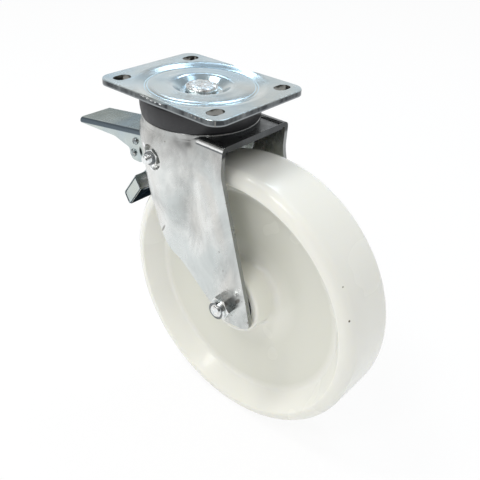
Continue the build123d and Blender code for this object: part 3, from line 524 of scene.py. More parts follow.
@dataclass(frozen=True, kw_only=True)
class FoldedFinish(ZincFinish):
    """Zinc on folded sheet: painted shade along the pedal's folds, on the proud rims and
    underneath.
    """

    # painted shade: the dark band along the folds and the dark rims
    fold_and_rim_shade: Colour = (0.13, 0.16, 0.185)
    # painted shade on faces turned downward
    under: Colour = (0.05, 0.06, 0.065)
    # how far a place is out from the middle, from the pedal's side on and from the rims on
    side_along_x: Span = (0.0172, 0.0180)
    rim_along_x: Span = (0.02012, 0.02018)
    # the pedal's upper face: how far it falls per length along Y, and its height at Y 0
    pedal_fall: float = 0.152
    pedal_height: float = -0.0455
    fold_depth: Span = (-0.0052, -0.0044)
    under_facing: Span = (-0.3, -0.45)

    def tone(self, sheet: NodeSheet) -> Socket:
        """Plating with painted shade: a dark band along the folds, dark rims and a dark underside.

        Args:
            sheet: The material in the making.

        Returns:
            The socket of the colour.
        """
        tone = super().tone(sheet)
        fall = sheet.times(sheet.axis(sheet.place, "Y"), self.pedal_fall)
        level = sheet.math("ADD", sheet.axis(sheet.place, "Z"), fall)
        depth = sheet.math("SUBTRACT", level, self.pedal_height)
        out = sheet.away("X")
        band = sheet.times(sheet.spread(depth, *self.fold_depth),
                           sheet.spread(out, *self.side_along_x))
        # painted shade along the folds and on the rims
        tone = sheet.blend(band, tone, self.fold_and_rim_shade)
        tone = sheet.blend(sheet.spread(out, *self.rim_along_x), tone, self.fold_and_rim_shade)
        # painted shade underneath
        return sheet.blend(sheet.spread(sheet.facing("Z"), *self.under_facing), tone, self.under)


@dataclass(frozen=True, kw_only=True)
class SteelFinish:
    """Ground and oiled steel of races, sleeves and balls."""

    name: str
    light: Colour = (0.56, 0.57, 0.59)
    dark: Colour = (0.40, 0.41, 0.42)
    smooth: float = 0.12
    rough: float = 0.30
    patch_span: Span = (0.35, 0.65)
    wear_span: Span = (0.3, 0.7)
    grain: float = 0.000008

    def material(self) -> bpy.types.Material:
        """Builds the finish's material.

        Returns:
            The material.
        """
        sheet = NodeSheet(self.name, Metallic=1.0)
        patch = sheet.spread(sheet.noise(140.0), *self.patch_span)
        sheet.feed("Base Color", sheet.blend(patch, self.dark, self.light))
        sheet.feed("Roughness", sheet.spread(sheet.noise(420.0, 3.0), *self.wear_span,
                                             self.smooth, self.rough))
        sheet.bump(sheet.noise(1800.0, 2.0), self.grain)
        return sheet.material


@dataclass(frozen=True, kw_only=True)
class MouldedFinish:
    """Moulded plastic or rubber with a slight flow pattern and dust."""

    name: str
    light: Colour
    dark: Colour
    smooth: float
    rough: float
    relief: float
    flow_span: Span = (0.35, 0.65)
    dust: Colour = (0.45, 0.44, 0.42)
    dust_span: Span = (0.58, 0.72)
    dust_share: float = 0.0

    def material(self) -> bpy.types.Material:
        """Builds the finish's material.

        Returns:
            The material.
        """
        sheet = NodeSheet(self.name)
        sheet.feed("Base Color", self.tone(sheet))
        sheet.feed("Roughness", sheet.spread(sheet.noise(90.0, 5.0, 0.6), *self.flow_span,
                                             self.smooth, self.rough))
        sheet.bump(sheet.noise(320.0, 3.0, 0.5), self.relief)
        return sheet.material

    def tone(self, sheet: NodeSheet) -> Socket:
        """Flow pattern with a little dust.

        Args:
            sheet: The material in the making.

        Returns:
            The socket of the colour.
        """
        flow = sheet.spread(sheet.noise(24.0, 5.0, 0.6), *self.flow_span)
        tone = sheet.blend(flow, self.dark, self.light)
        grit = sheet.noise(700.0, 6.0, 0.75)
        return sheet.blend(sheet.spread(grit, *self.dust_span, 0.0, self.dust_share), tone,
                           self.dust)


@dataclass(frozen=True, kw_only=True)
class LockRingFinish(MouldedFinish):
    """White nylon of the locking rings, mostly covered by a patchy dark layer."""

    darkening: Colour = (0.045, 0.06, 0.08)
    darkening_span: Span = (0.30, 0.60)
    darkening_shares: Pair = (0.602, 0.86)

    def tone(self, sheet: NodeSheet) -> Socket:
        """Nylon under a patchy dark layer."""
        # the nylon is drawn mostly dark, in patches
        dark_layer = sheet.spread(sheet.noise(180.0, 4.0, 0.6), *self.darkening_span, *self.darkening_shares)
        return sheet.blend(dark_layer, super().tone(sheet), self.darkening)


@dataclass(frozen=True, kw_only=True)
class WheelFinish:
    """Moulded polyamide: glossy ivory, faintly translucent, with flow lines, handling specks and
    painted shade on the web.
    """

    name: str
    light: Colour = (0.87, 0.865, 0.80)
    dark: Colour = (0.85, 0.845, 0.775)
    flow_span: Span = (0.30, 0.70)
    # painted shade: the web is drawn darker than rim and hub
    deep: Colour = (0.72, 0.72, 0.635)
    web_shade_share: float = 0.8
    rim_to_web: Span = (0.1, 0.094)
    hub_to_web: Span = (0.036, 0.056)
    axle: Point = (0.0, -0.066, -0.175)
    wear_span: Span = (0.35, 0.65)
    smooth: float = 0.24
    rough: float = 0.28
    ring_relief: float = 0.000004
    relief: float = 0.00002
    speck: Colour = (0.10, 0.07, 0.04)
    specks: tuple[Mark, ...] = (
        Mark((-23.4, -170.0, -107.8), (1.2, 0.8, 1.1)),
        Mark((-25.8, -181.3, -132.7), (1.1, 0.9, 1.3)),
    )

    def material(self) -> bpy.types.Material:
        """Builds the finish's material.

        Returns:
            The material.
        """
        sheet = NodeSheet(self.name, Subsurface_Weight=0.2, Subsurface_Scale=0.4,
                          Subsurface_Radius=(0.010, 0.009, 0.006), Coat_Weight=0.3,
                          Coat_Roughness=0.06, Specular_IOR_Level=0.3)
        flow = sheet.spread(sheet.noise(7.0, 2.0, 0.4), *self.flow_span)
        tone = sheet.blend(flow, self.dark, self.light)
        radius = sheet.around(self.axle, (0, 1, 1))
        # painted shade on the web between hub and rim
        web = sheet.times(sheet.spread(radius, *self.rim_to_web),
                          sheet.spread(radius, *self.hub_to_web), self.web_shade_share)
        tone = sheet.blend(web, tone, self.deep)
        tone = sheet.blend(sheet.marks(self.specks), tone, self.speck)
        sheet.feed("Base Color", tone)
        sheet.feed("Roughness", sheet.spread(sheet.noise(14.0, 2.0, 0.5), *self.wear_span,
                                             self.smooth, self.rough))
        sheet.bump(sheet.rings(radius, 260.0, 0.5), self.ring_relief)
        sheet.bump(sheet.noise(20.0, 1.0, 0.4), self.relief)
        return sheet.material


class Finish(Enum):
    """The finishes on this castor: one for each material slot of the record, and the rivets'."""

    PLATE = "plate_zinc"
    FORK = "fork_zinc"
    PIN = "pin_steel"
    RACE = "race_steel"
    BALL = "ball_steel"
    SEAL = "seal_black"
    BOLT = "bolt_zinc"
    LOCK = "lock_nylon"
    BRAKE = "brake_zinc"
    NYLON = "wheel_nylon"
    RIVET = "rivet_zinc"


# burrs along the plate's sheared edge, painted as bright glints
PLATE_BURR_GLINTS = (
    Mark((-55.0, 10.0, -0.9), (1.2, 2.2, 0.7)), Mark((-55.0, 5.5, -1.4), (1.2, 1.3, 0.6)),
    Mark((-55.0, 1.0, -1.9), (1.2, 2.0, 0.6)), Mark((-55.0, -3.5, -2.1), (1.2, 0.9, 0.6)),
    Mark((-55.0, -9.0, -2.2), (1.2, 1.8, 0.6)),
)
PLATE_DINGS = (
    Mark((-55.0, -42.5, -1.2), (0.9, 0.8, 1.4)), Mark((-55.0, -46.5, -2.0), (0.9, 1.1, 0.9)),
    Mark((-55.0, -50.5, -1.0), (0.9, 0.7, 0.8)), Mark((-50.0, -35.0, 0.0), (1.4, 0.7, 0.8)),
    Mark((-52.8, -57.0, -1.0), (1.0, 1.0, 1.2)),
)
# real wear dots and a dent on the near leg, a dark line along its front edge, a dark mark below the
# seal, and painted shade beside the axle nut
FORK_WEAR_AND_SHADE_SPOTS = (
    Mark((-38.1, -58.6, -121.9), (1.5, 0.8, 0.9)), Mark((-37.4, -63.1, -139.5), (1.5, 0.6, 1.7)),
    Mark((-39.2, -66.0, -71.8), (1.6, 1.4, 1.0)), Mark((-39.0, -66.3, -74.6), (1.3, 1.2, 0.8)),
    Mark((-39.6, 7.4, -126.6), (2.2, 1.3, 9.0), 33.0),
    Mark((-36.6, -93.0, -179.8), (1.3, 1.5, 1.5)), Mark((-36.6, -74.5, -182.1), (1.2, 1.2, 0.5)),
    Mark((-36.6, -85.0, -161.0), (1.2, 0.5, 0.9)), Mark((-52.0, -9.0, -34.0), (3.0, 0.9, 0.9)),
    # painted shade on the leg beside the axle nut
    Mark((-36.6, -80.0, -163.5), (2.0, 2.2, 5.2), 35.0),
)
# painted light on the walls of the pivot nut's pocket, which lie in shade
FORK_PAINTED_LIGHT = (
    Mark((-46.8, 19.4, -47.0), (3.2, 3.4, 3.0)), Mark((-46.2, 9.9, -65.4), (3.0, 5.0, 3.2)),
)
# painted shade on the pedal's flange
BRAKE_PAINTED_SHADE = (Mark((-20.0, 56.6, -74.5), (1.0, 2.4, 5.2), -12.0),)
# painted highlight on the brake near the release pad
BRAKE_PAINTED_HIGHLIGHT = (Mark((-8.0, 61.0, -110.0), (14.0, 6.0, 9.0)),)

FINISHES: dict[Finish, ZincFinish | SteelFinish | MouldedFinish | WheelFinish] = {
    Finish.PLATE: PressedPlateFinish(
        name="bright plate zinc", light=(0.60, 0.67, 0.69), dark=(0.46, 0.55, 0.58),
        warm=(0.58, 0.60, 0.57), cool=(0.42, 0.57, 0.67), smooth=0.16, rough=0.28, patch=24.0,
        stain_share=0.12, relief=0.00014, relief_scale=60.0, grain=0.000006,
        dirt_and_shade_marks=PLATE_DINGS, painted_light_marks=PLATE_BURR_GLINTS),
    Finish.FORK: DrawnForkFinish(
        name="mottled fork zinc", light=(0.78, 0.79, 0.77), dark=(0.46, 0.475, 0.465),
        cool=(0.62, 0.665, 0.66), tint=0.6, patch=40.0, streak=(1, 1, 0.6),
        dirt_and_shade_marks=FORK_WEAR_AND_SHADE_SPOTS, painted_light_marks=FORK_PAINTED_LIGHT),
    Finish.PIN: ZincFinish(
        name="hammered pin zinc", light=(0.80, 0.81, 0.80), dark=(0.44, 0.45, 0.45),
        rough=0.36, patch=260.0, relief=0.00025, relief_scale=420.0),
    Finish.RACE: SteelFinish(name="ground race steel"),
    Finish.BALL: SteelFinish(
        name="polished ball steel", light=(0.74, 0.75, 0.77), dark=(0.66, 0.67, 0.69),
        smooth=0.05, rough=0.12),
    Finish.SEAL: MouldedFinish(
        name="satin black seal", light=(0.030, 0.030, 0.033), dark=(0.016, 0.016, 0.018),
        smooth=0.40, rough=0.56, relief=0.00003, dust_share=0.10),
    Finish.BOLT: ZincFinish(
        name="bright bolt zinc", light=(0.93, 0.94, 0.94), dark=(0.74, 0.77, 0.78),
        smooth=0.10, rough=0.22, patch=260.0, relief=0.00004, relief_scale=500.0),
    Finish.LOCK: LockRingFinish(
        name="darkened locking nylon", light=(0.80, 0.80, 0.76), dark=(0.72, 0.72, 0.68),
        smooth=0.30, rough=0.45, relief=0.00002),
    Finish.BRAKE: FoldedFinish(
        name="satin brake zinc", light=(0.66, 0.71, 0.69), dark=(0.50, 0.56, 0.55),
        warm=(0.64, 0.66, 0.60), cool=(0.48, 0.56, 0.61), smooth=0.18, rough=0.34,
        stain_and_shade=(0.02, 0.025, 0.025), stain_share=0.05, graze=(0.25, 0.27, 0.28),
        dirt_and_shade_marks=BRAKE_PAINTED_SHADE, painted_light_marks=BRAKE_PAINTED_HIGHLIGHT),
    Finish.RIVET: ZincFinish(
        name="dark formed rivet", light=(0.34, 0.38, 0.40), dark=(0.10, 0.12, 0.13),
        smooth=0.14, rough=0.30, patch=420.0, relief=0.00004, relief_scale=500.0),
    Finish.NYLON: WheelFinish(name="ivory wheel polyamide"),
}


class Paintbox:
    """Makes each finish once and puts it on meshes."""

    def __init__(self) -> None:
        """Starts with no material made."""
        self.made: dict[Finish, bpy.types.Material] = {}

    def dress(self, mesh: bpy.types.Mesh, finish: Finish) -> None:
        """Gives a mesh its finish alone.

        Args:
            mesh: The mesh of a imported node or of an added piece.
            finish: Its finish.
        """
        if finish not in self.made:
            self.made[finish] = FINISHES[finish].material()
        mesh.materials.clear()
        mesh.materials.append(self.made[finish])


# ---------------------------------------------------------------- meshes made of rings
def turns(count: int) -> list[float]:
    """Equal steps of a full turn, in radians."""
    return [math.tau * i / count for i in range(count)]


def upright_ring(radius: float, height: float, count: int) -> Ring:
    """Ring about Z, from millimetres to metres."""
    return [Vector((radius * math.cos(t), radius * math.sin(t), height)) * MM
            for t in turns(count)]


def axle_point(axle: Pair, station: float, radius: float, angle: float) -> Vector:
    """A point round an axle along X, from millimetres to metres."""
    y, z = axle
    return Vector((station, y + radius * math.cos(angle), z + radius * math.sin(angle))) * MM


def axle_ring(axle: Pair, station: float, radius: float, count: int) -> Ring:
    """Ring about an axle along X, from millimetres to metres."""
    return [axle_point(axle, station, radius, angle) for angle in turns(count)]


def flat_ring(points: Sequence[Vector], station: float) -> Ring:
    """Points of a side view at a station along X, from millimetres to metres."""
    return [Vector((station, point.x, point.y)) * MM for point in points]


class Ends(Enum):
    """What becomes of a skin's first and last ring."""

    CAPPED = "each is closed by a flat face"
    JOINED = "the last runs on into the first"


class Skin:
    """A mesh made of rings of equally many points, each joined to the next."""

    def __init__(self) -> None:
        """Starts an empty skin."""
        self.mesh = bmesh.new()

    def cover(self, rings: Sequence[Ring], ends: Ends = Ends.CAPPED) -> None:
        """Adds faces between rings.

        Args:
            rings: The rings, in order along the piece.
            ends: What becomes of the first and the last.
        """
        rows = [[self.mesh.verts.new(point) for point in ring] for ring in rings]
        followers = rows[1:]
        if ends is Ends.JOINED:
            followers.append(rows[0])
        for near, far in zip(rows, followers):
            for index, vertex in enumerate(near):
                after = (index + 1) % len(near)
                self.mesh.faces.new((vertex, near[after], far[after], far[index]))
        if ends is Ends.CAPPED:
            self.mesh.faces.new(rows[0][::-1])
            self.mesh.faces.new(rows[-1])

    def build(self, name: str, sharp: float) -> bpy.types.Object:
        """Turns the skin into a piece.

        Args:
            name: The piece's name.
            sharp: Edges that turn further than this many degrees stay sharp.

        Returns:
            The piece.
        """
        bmesh.ops.recalc_face_normals(self.mesh, faces=self.mesh.faces)
        for face in self.mesh.faces:
            face.smooth = True
        for edge in self.mesh.edges:
            if len(edge.link_faces) == 2 and edge.calc_face_angle() > math.radians(sharp):
                edge.smooth = False
        data = bpy.data.meshes.new(name)
        self.mesh.to_mesh(data)
        self.mesh.free()
        piece = bpy.data.objects.new(name, data)
        bpy.context.scene.collection.objects.link(piece)
        return piece


@dataclass(frozen=True, kw_only=True)
class Fitting:
    """An added piece: the body it rides on, the node it stands for, its finish and slot."""

    name: str
    body: str
    node: str | None = None
    finish: Finish
    slot: Finish | None = None
    sharp: float = 40.0

    def build(self, paints: Paintbox) -> None:
        """Makes and dresses the piece and puts it in its node's place.

        Args:
            paints: The finishes.
        """
        skin = Skin()
        self.shape(skin)
        piece = skin.build(self.name, self.sharp)
        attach(piece, self.body)
        if self.node:
            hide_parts(self.node)
        paints.dress(piece.data, self.finish)
        LOG.info("built %s", self.name)

    def shape(self, skin: Skin) -> None:
        """Adds the piece's own rings to a skin."""
        raise NotImplementedError


@dataclass(frozen=True, kw_only=True)
class CrossBolt(Fitting):
    """Hexagon bolt along X with a rolled thread at its free end, in millimetres."""

    body: str = "swivel_fork"
    finish: Finish = Finish.BOLT
    axle: Pair
    radius: float
    pitch: float
    end: float
    seat: float
    across: float
    head: float
    turn: float
    thread: float = 22.0
    # the thread's depth in pitches, the slope of its flanks and the share of its root
    thread_depth: float = 0.55
    flank: float = 2.4
    root: float = 0.1
    chamfer: float = 1.2
    # the head's bevel: how far from its end it starts, its middle's distance and radius, and
    # the radius of the end face, both radii as shares of half the flats
    bevel_start: float = 1.1
    bevel_middle: Pair = (0.5, 1.07)
    face_share: float = 0.94
    steps: int = 8
    count: int = 48

    def shape(self, skin: Skin) -> None:
        """Adds the threaded shank and the head."""
        skin.cover(self.shank())
        skin.cover(self.hexagon_head())

    def shank(self) -> list[Ring]:
        """Rings of the threaded end and the plain shank, from the free end to the seat.

        Returns:
            The rings.
        """
        step = self.pitch / self.steps
        stations = [self.end + step * i for i in range(int(self.thread / step))]
        stations += [self.end + self.thread, self.seat]
        return [[axle_point(self.axle, x, self.reach(x, angle), angle)
                 for angle in turns(self.count)] for x in stations]

    def reach(self, station: float, angle: float) -> float:
        """Radius of the shank, with its thread and the chamfer of its end.

        Args:
            station: Place along X.
            angle: Direction round the axle, in radians.

        Returns:
            The radius.
        """
        along = station - self.end
        if along >= self.thread:
            return self.radius
        phase = (along / self.pitch - angle / math.tau) % 1.0
        crest = min(1.0, max(0.0, self.flank * abs(phase - 0.5) - self.root))
        depth = self.thread_depth * self.pitch * (1 - crest)
        return self.radius - max(depth, self.chamfer - along)

    def hexagon_head(self) -> list[Ring]:
        """Rings of the hexagon head, chamfered at its corners.

        Returns:
            The rings.
        """
        flat = self.across / 2
        face, unbevelled = flat * self.face_share, self.across
        drop, share = self.bevel_middle
        rows = ((0.0, face), (0.0, unbevelled), (self.head - self.bevel_start, unbevelled),
                (self.head - drop, flat * share), (self.head, face))
        return [[axle_point(self.axle, self.seat + along, min(self.hexagon(angle), reach), angle)
                 for angle in turns(self.count)] for along, reach in rows]

    def hexagon(self, angle: float) -> float:
        """Distance from the axle to the hexagon's side in a direction."""
        sector = (angle - math.radians(self.turn) + math.pi / 6) % (math.pi / 3) - math.pi / 6
        return self.across / 2 / math.cos(math.pi / 6 - abs(sector))


@dataclass(frozen=True, kw_only=True)
class Kingpin(Fitting):
    """The swivel pin, its head hammered over in the plate's recess, in millimetres."""

    name: str = "riveted_pin"
    body: str = "mounting_plate"
    node: str = "kingpin"
    finish: Finish = Finish.PIN
    sharp: float = 38.0
    # radius and height of each ring
    head: tuple[Pair, ...] = (
        (2.2, -0.9), (4.6, -0.85), (7.0, -0.8), (9.2, -0.85), (10.8, -1.05), (12.2, -1.5),
        (13.2, -2.2), (13.9, -3.2), (14.0, -4.4), (13.6, -5.6), (13.1, -6.49),
    )
    neck: tuple[Pair, ...] = ((9.0, -6.5), (9.0, -11.5), (12.0, -11.5))
    # the lower end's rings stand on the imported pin's lower end
    foot: tuple[Pair, ...] = ((12.0, 3.0), (15.0, 3.0), (15.0, 1.0), (14.0, 0.0))
    blows: int = 10
    blow_depth: float = 0.45
    # the blows are full from this radius out, and weaker again on the head's rim
    blow_reach: float = 9.0
    rim_radius: float = 13.0
    rim_share: float = 0.4
    # cells per metre and share of the coarse pits and the fine ones
    pits: tuple[Pair, ...] = ((320.0, 1.0), (900.0, 0.5))
    pit_depth: float = 0.28
    count: int = 96

    def shape(self, skin: Skin) -> None:
        """Adds the beaten head, the neck and the foot.

        Args:
            skin: The piece's mesh in the making.
        """
        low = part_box(self.node)[0].z / MM
        plain = [*self.neck, *((radius, low + height) for radius, height in self.foot)]
        skin.cover([self.beaten(radius, height) for radius, height in self.head]
                   + [upright_ring(radius, height, self.count) for radius, height in plain])

    def beaten(self, radius: float, height: float) -> Ring:
        """Ring of the head with the dents of the rivet tool.

        Args:
            radius: The ring's radius.
            height: Its height before it was beaten.

        Returns:
            The ring.
        """
        ring = upright_ring(radius, height, self.count)
        reach = min(1.0, radius / self.blow_reach)
        if radius >= self.rim_radius:
            reach *= self.rim_share
        for point, angle in zip(ring, turns(self.count)):
            star = 0.5 + 0.5 * math.cos(self.blows * angle)
            dent = self.blow_depth * reach * star ** 3
            pit = sum(share * field_noise.noise(point * scale) for scale, share in self.pits)
            point.z -= (dent + self.pit_depth * max(0.0, pit)) * MM
        return ring


@dataclass(frozen=True, kw_only=True)
class DustSeal(Fitting):
    """The moulded ring over the ball race, softly bulged, in millimetres."""

    name: str = "moulded_seal"
    body: str = "swivel_fork"
    node: str = "swivel_seal"
    finish: Finish = Finish.SEAL
    sharp: float = 50.0
    # radius and height of each ring
    section: tuple[Pair, ...] = (
        (47.3, -22.0), (41.3, -22.0), (41.3, -25.0), (49.6, -25.0), (50.2, -24.4), (50.45, -23.0),
        (50.9, -20.5), (51.3, -18.0), (51.5, -15.6), (51.6, -13.4), (51.5, -11.4), (51.2, -9.6),
        (50.9, -8.4), (50.4, -8.1), (49.8, -8.2), (48.6, -9.9),
    )
    count: int = 160

    def shape(self, skin: Skin) -> None:
        """Adds the closed section."""
        skin.cover([upright_ring(radius, height, self.count) for radius, height in self.section],
                   Ends.JOINED)


@dataclass(frozen=True, kw_only=True)
class MouldedWheel(Fitting):
    """The wheel with its narrow rounded rim, sloping flanks and dished web, in millimetres."""

    name: str = "moulded_wheel"
    body: str = "road_wheel"
    node: str = "wheel"
    finish: Finish = Finish.NYLON
    sharp: float = 50.0
    axle: Pair = (-66.0, -175.0)
    # corners of half the section, from the tread's middle to the bore's: station, radius, rounding
    section: tuple[Point, ...] = (
        (0.0, 125.0, 0.0), (30.0, 125.0, 10.0), (30.0, 113.4, 2.2), (12.5, 100.5, 6.0),
        (4.0, 32.0, 6.0), (29.0, 30.5, 3.0), (29.0, 23.55, 0.0), (15.0, 23.55, 0.0),
        (15.0, 18.5, 0.0), (0.0, 18.5, 0.0),
    )
    steps: int = 10
    count: int = 240

    def shape(self, skin: Skin) -> None:
        """Adds the closed section, one half mirrored from the other.

        Args:
            skin: The piece's mesh in the making.
        """
        half = self.half_section()
        loop = half + [(-station, radius) for station, radius in reversed(half[1:-1])]
        skin.cover([axle_ring(self.axle, station, radius, self.count)
                    for station, radius in loop], Ends.JOINED)

    def half_section(self) -> list[Pair]:
        """Half the section with its corners rounded.

        Returns:
            Its stations and radii.
        """
        points = [Vector(corner[:2]) for corner in self.section]
        line = []
        for index, corner in enumerate(points):
            rounding = self.section[index][2]
            if rounding:
                before, after = points[index - 1], points[index + 1]
                line += self.rounded(before, corner, after, rounding)
            else:
                line.append(tuple(corner))
        return line

    def rounded(self, before: Vector, corner: Vector, after: Vector,
                rounding: float) -> list[Pair]:
        """Arc in place of a corner.

        Args:
            before: The point before the corner.
            corner: The corner.
            after: The point after it.
            rounding: The arc's radius.

        Returns:
            Points of the arc.
        """
        back, ahead = (before - corner).normalized(), (after - corner).normalized()
        half_angle = back.angle(ahead) / 2
        centre = corner + (back + ahead).normalized() * (rounding / math.sin(half_angle))
        reach = rounding / math.tan(half_angle)
        start, end = corner + back * reach - centre, corner + ahead * reach - centre
        return [tuple(centre + start.lerp(end, step / self.steps).normalized() * rounding)
                for step in range(self.steps + 1)]


@dataclass(frozen=True, kw_only=True)
class CrossRivets(Fitting):
    """Two rivets across the pedal, their heads formed with a ring and a dimple."""

    name: str = "formed_rivets"
    body: str = "pedal"
    node: str = "brake_rivets"
    finish: Finish = Finish.RIVET
    slot: Finish = Finish.BOLT
    sharp: float = 45.0
    half: float = 20.0
    shank: float = 2.5
    # axle and head radius of each rivet
    places: tuple[tuple[Pair, float], ...] = (((63.1, -66.4), 3.3), ((66.6, -79.0), 3.6))
    # a head from its rim to its middle: share of its radius, height
    head: tuple[Pair, ...] = (
        (1.0, 0.0), (1.0, 0.8), (0.95, 1.3), (0.82, 1.75), (0.70, 1.95), (0.60, 1.7),
        (0.50, 1.5), (0.38, 1.9), (0.24, 2.0), (0.10, 1.75),
    )
    count: int = 40

    def shape(self, skin: Skin) -> None:
        """Adds both rivets, each from one head's middle to the other's.

        Args:
            skin: The piece's mesh in the making.
        """
        for axle, radius in self.places:
            end = [(self.half, self.shank)]
            end += [(self.half + height, share * radius) for share, height in self.head]
            line = [(-station, reach) for station, reach in reversed(end)] + end
            skin.cover([axle_ring(axle, station, reach, self.count) for station, reach in line])


@dataclass(frozen=True, kw_only=True)
class ReleasePad(Fitting):
    """Rolled rims on both sides of the release pad and the sheet that closes it, in millimetres."""

    name: str = "release_pad_rims"
    body: str = "release"
    finish: Finish = Finish.BRAKE
    corner: Pair = (66.1, -102.3)
    length: float = 30.2
    depth: float = 14.2
    fall: float = -54.2
    back_turn: float = -122.3
    half: float = 20.0
    rim: float = 0.7
    inset: float = 0.8
    sunk: float = 0.3
    proud: float = 0.45
    sheet: float = 1.2
    round_off: float = 3.0
    steps: int = 4

    def shape(self, skin: Skin) -> None:
        """Adds the two rims and the closing sheet.

        Args:
            skin: The piece's mesh in the making.
        """
        outer = self.rounded(self.outline(self.inset))
        inner = self.rounded(self.outline(self.inset + self.rim))
        for side in (-1, 1):
            low, high = side * (self.half - self.sunk), side * (self.half + self.proud)
            skin.cover([flat_ring(outer, low), flat_ring(outer, high), flat_ring(inner, high),
                        flat_ring(inner, low)], Ends.JOINED)
        sheet = self.closing_sheet()
        skin.cover([flat_ring(sheet, -self.half), flat_ring(sheet, self.half)])

    def outline(self, inset: float = 0.0) -> list[Vector]:
        """Corners of the pad's side, drawn in by a distance.

        Args:
            inset: The distance.

        Returns:
            The corners: upper, toe, lower toe, heel.
        """
        along, back = (Vector((math.cos(turn), math.sin(turn)))
                       for turn in (math.radians(self.fall), math.radians(self.back_turn)))
        start = Vector(self.corner) + (along + back) * inset
        far = along * (self.length - 2 * inset)
        deep = back * (self.depth - 2 * inset)
        return [start, start + far, start + far + deep, start + deep]

    def rounded(self, points: Sequence[Vector]) -> list[Vector]:
        """Outline with its two toe corners rounded off.

        Args:
            points: The outline's corners.

        Returns:
            The outline's points.
        """
        upper, toe, lower, heel = points
        line = [upper]
        for before, point, after in ((upper, toe, lower), (toe, lower, heel)):
            start = point + (before - point).normalized() * self.round_off
            end = point + (after - point).normalized() * self.round_off
            for step in range(self.steps + 1):
                share = step / self.steps
                line.append(start.lerp(point, share).lerp(point.lerp(end, share), share))
        return [*line, heel]

    def closing_sheet(self) -> list[Vector]:
        """Side of the sheet across the pad's open underside.

        Returns:
            Its four corners.
        """
        upper, far, toe, heel = self.outline()
        along = (far - upper).normalized()
        inward = Vector((-along.y, along.x)) * self.sheet
        toe = toe - along * self.round_off
        return [heel, toe, toe + inward, heel + inward]


# ---------------------------------------------------------------- studio
@dataclass(frozen=True)
class Viewpoint:
    """The camera, as a place and its three directions."""

    eye: Point = (-0.368124, -0.352073, 0.174245)
    right: Point = (0.65589889, -0.75360179, 0.04337043)
    up: Point = (0.38376662, 0.38238576, 0.84053811)
    back: Point = (-0.65001526, -0.53466389, 0.5400136)
    lens: float = 47.637
    sensor: float = 36.0
    nearest: float = 0.01

    def build(self) -> None:
        """Creates the camera and makes it the scene's."""
        data = bpy.data.cameras.new("viewpoint")
        data.lens = self.lens
        data.sensor_width = self.sensor
        data.clip_start = self.nearest
        camera = bpy.data.objects.new("viewpoint", data)
        turn = Matrix((self.right, self.up, self.back)).transposed()
        camera.matrix_world = Matrix.Translation(self.eye) @ turn.to_4x4()
        bpy.context.scene.collection.objects.link(camera)
        bpy.context.scene.camera = camera


@dataclass(frozen=True)
class Softbox:
    """One soft lamp, aimed at a target."""

    name: str
    place: Point
    target: Point
    size: float
    power: float
    colour: Colour = WHITE

    def build(self) -> None:
        """Hangs the lamp."""
        data = bpy.data.lights.new(self.name, "AREA")
        data.shape = "DISK"
        data.size = self.size
        data.energy = self.power
        data.color = self.colour
        lamp = bpy.data.objects.new(self.name, data)
        lamp.location = self.place
        aim = Vector(self.target) - Vector(self.place)
        lamp.rotation_euler = aim.to_track_quat("-Z", "Y").to_euler()
        bpy.context.scene.collection.objects.link(lamp)


@dataclass(frozen=True)
class Card:
    """A black card in the surroundings: its heading, its soft edge as cosines, its grey."""

    heading: Point
    outer: float
    inner: float
    grey: float

    def hang(self, nodes: Nodes, heading: Socket, grey: Socket) -> Socket:
        """Darkens the surroundings where the card is.

        Args:
            nodes: The world's nodes.
            heading: The direction that is looked in.
            grey: The grey without the card.

        Returns:
            The socket of the grey with the card.
        """
        values = {0: heading, 1: Vector(self.heading).normalized()}
        turn = nodes.add("VectorMath", values, operation="DOT_PRODUCT").outputs["Value"]
        values = {"Value": turn, "From Min": self.outer, "From Max": self.inner}
        share = nodes.add("MapRange", values, interpolation_type="SMOOTHSTEP").outputs[0]
        return nodes.blend(share, grey, (self.grey,) * 3)


# what the lamps are aimed at
AT_FORK = (0.0, -0.05, -0.15)
AT_PLATE = (0.0, 0.0, -0.02)


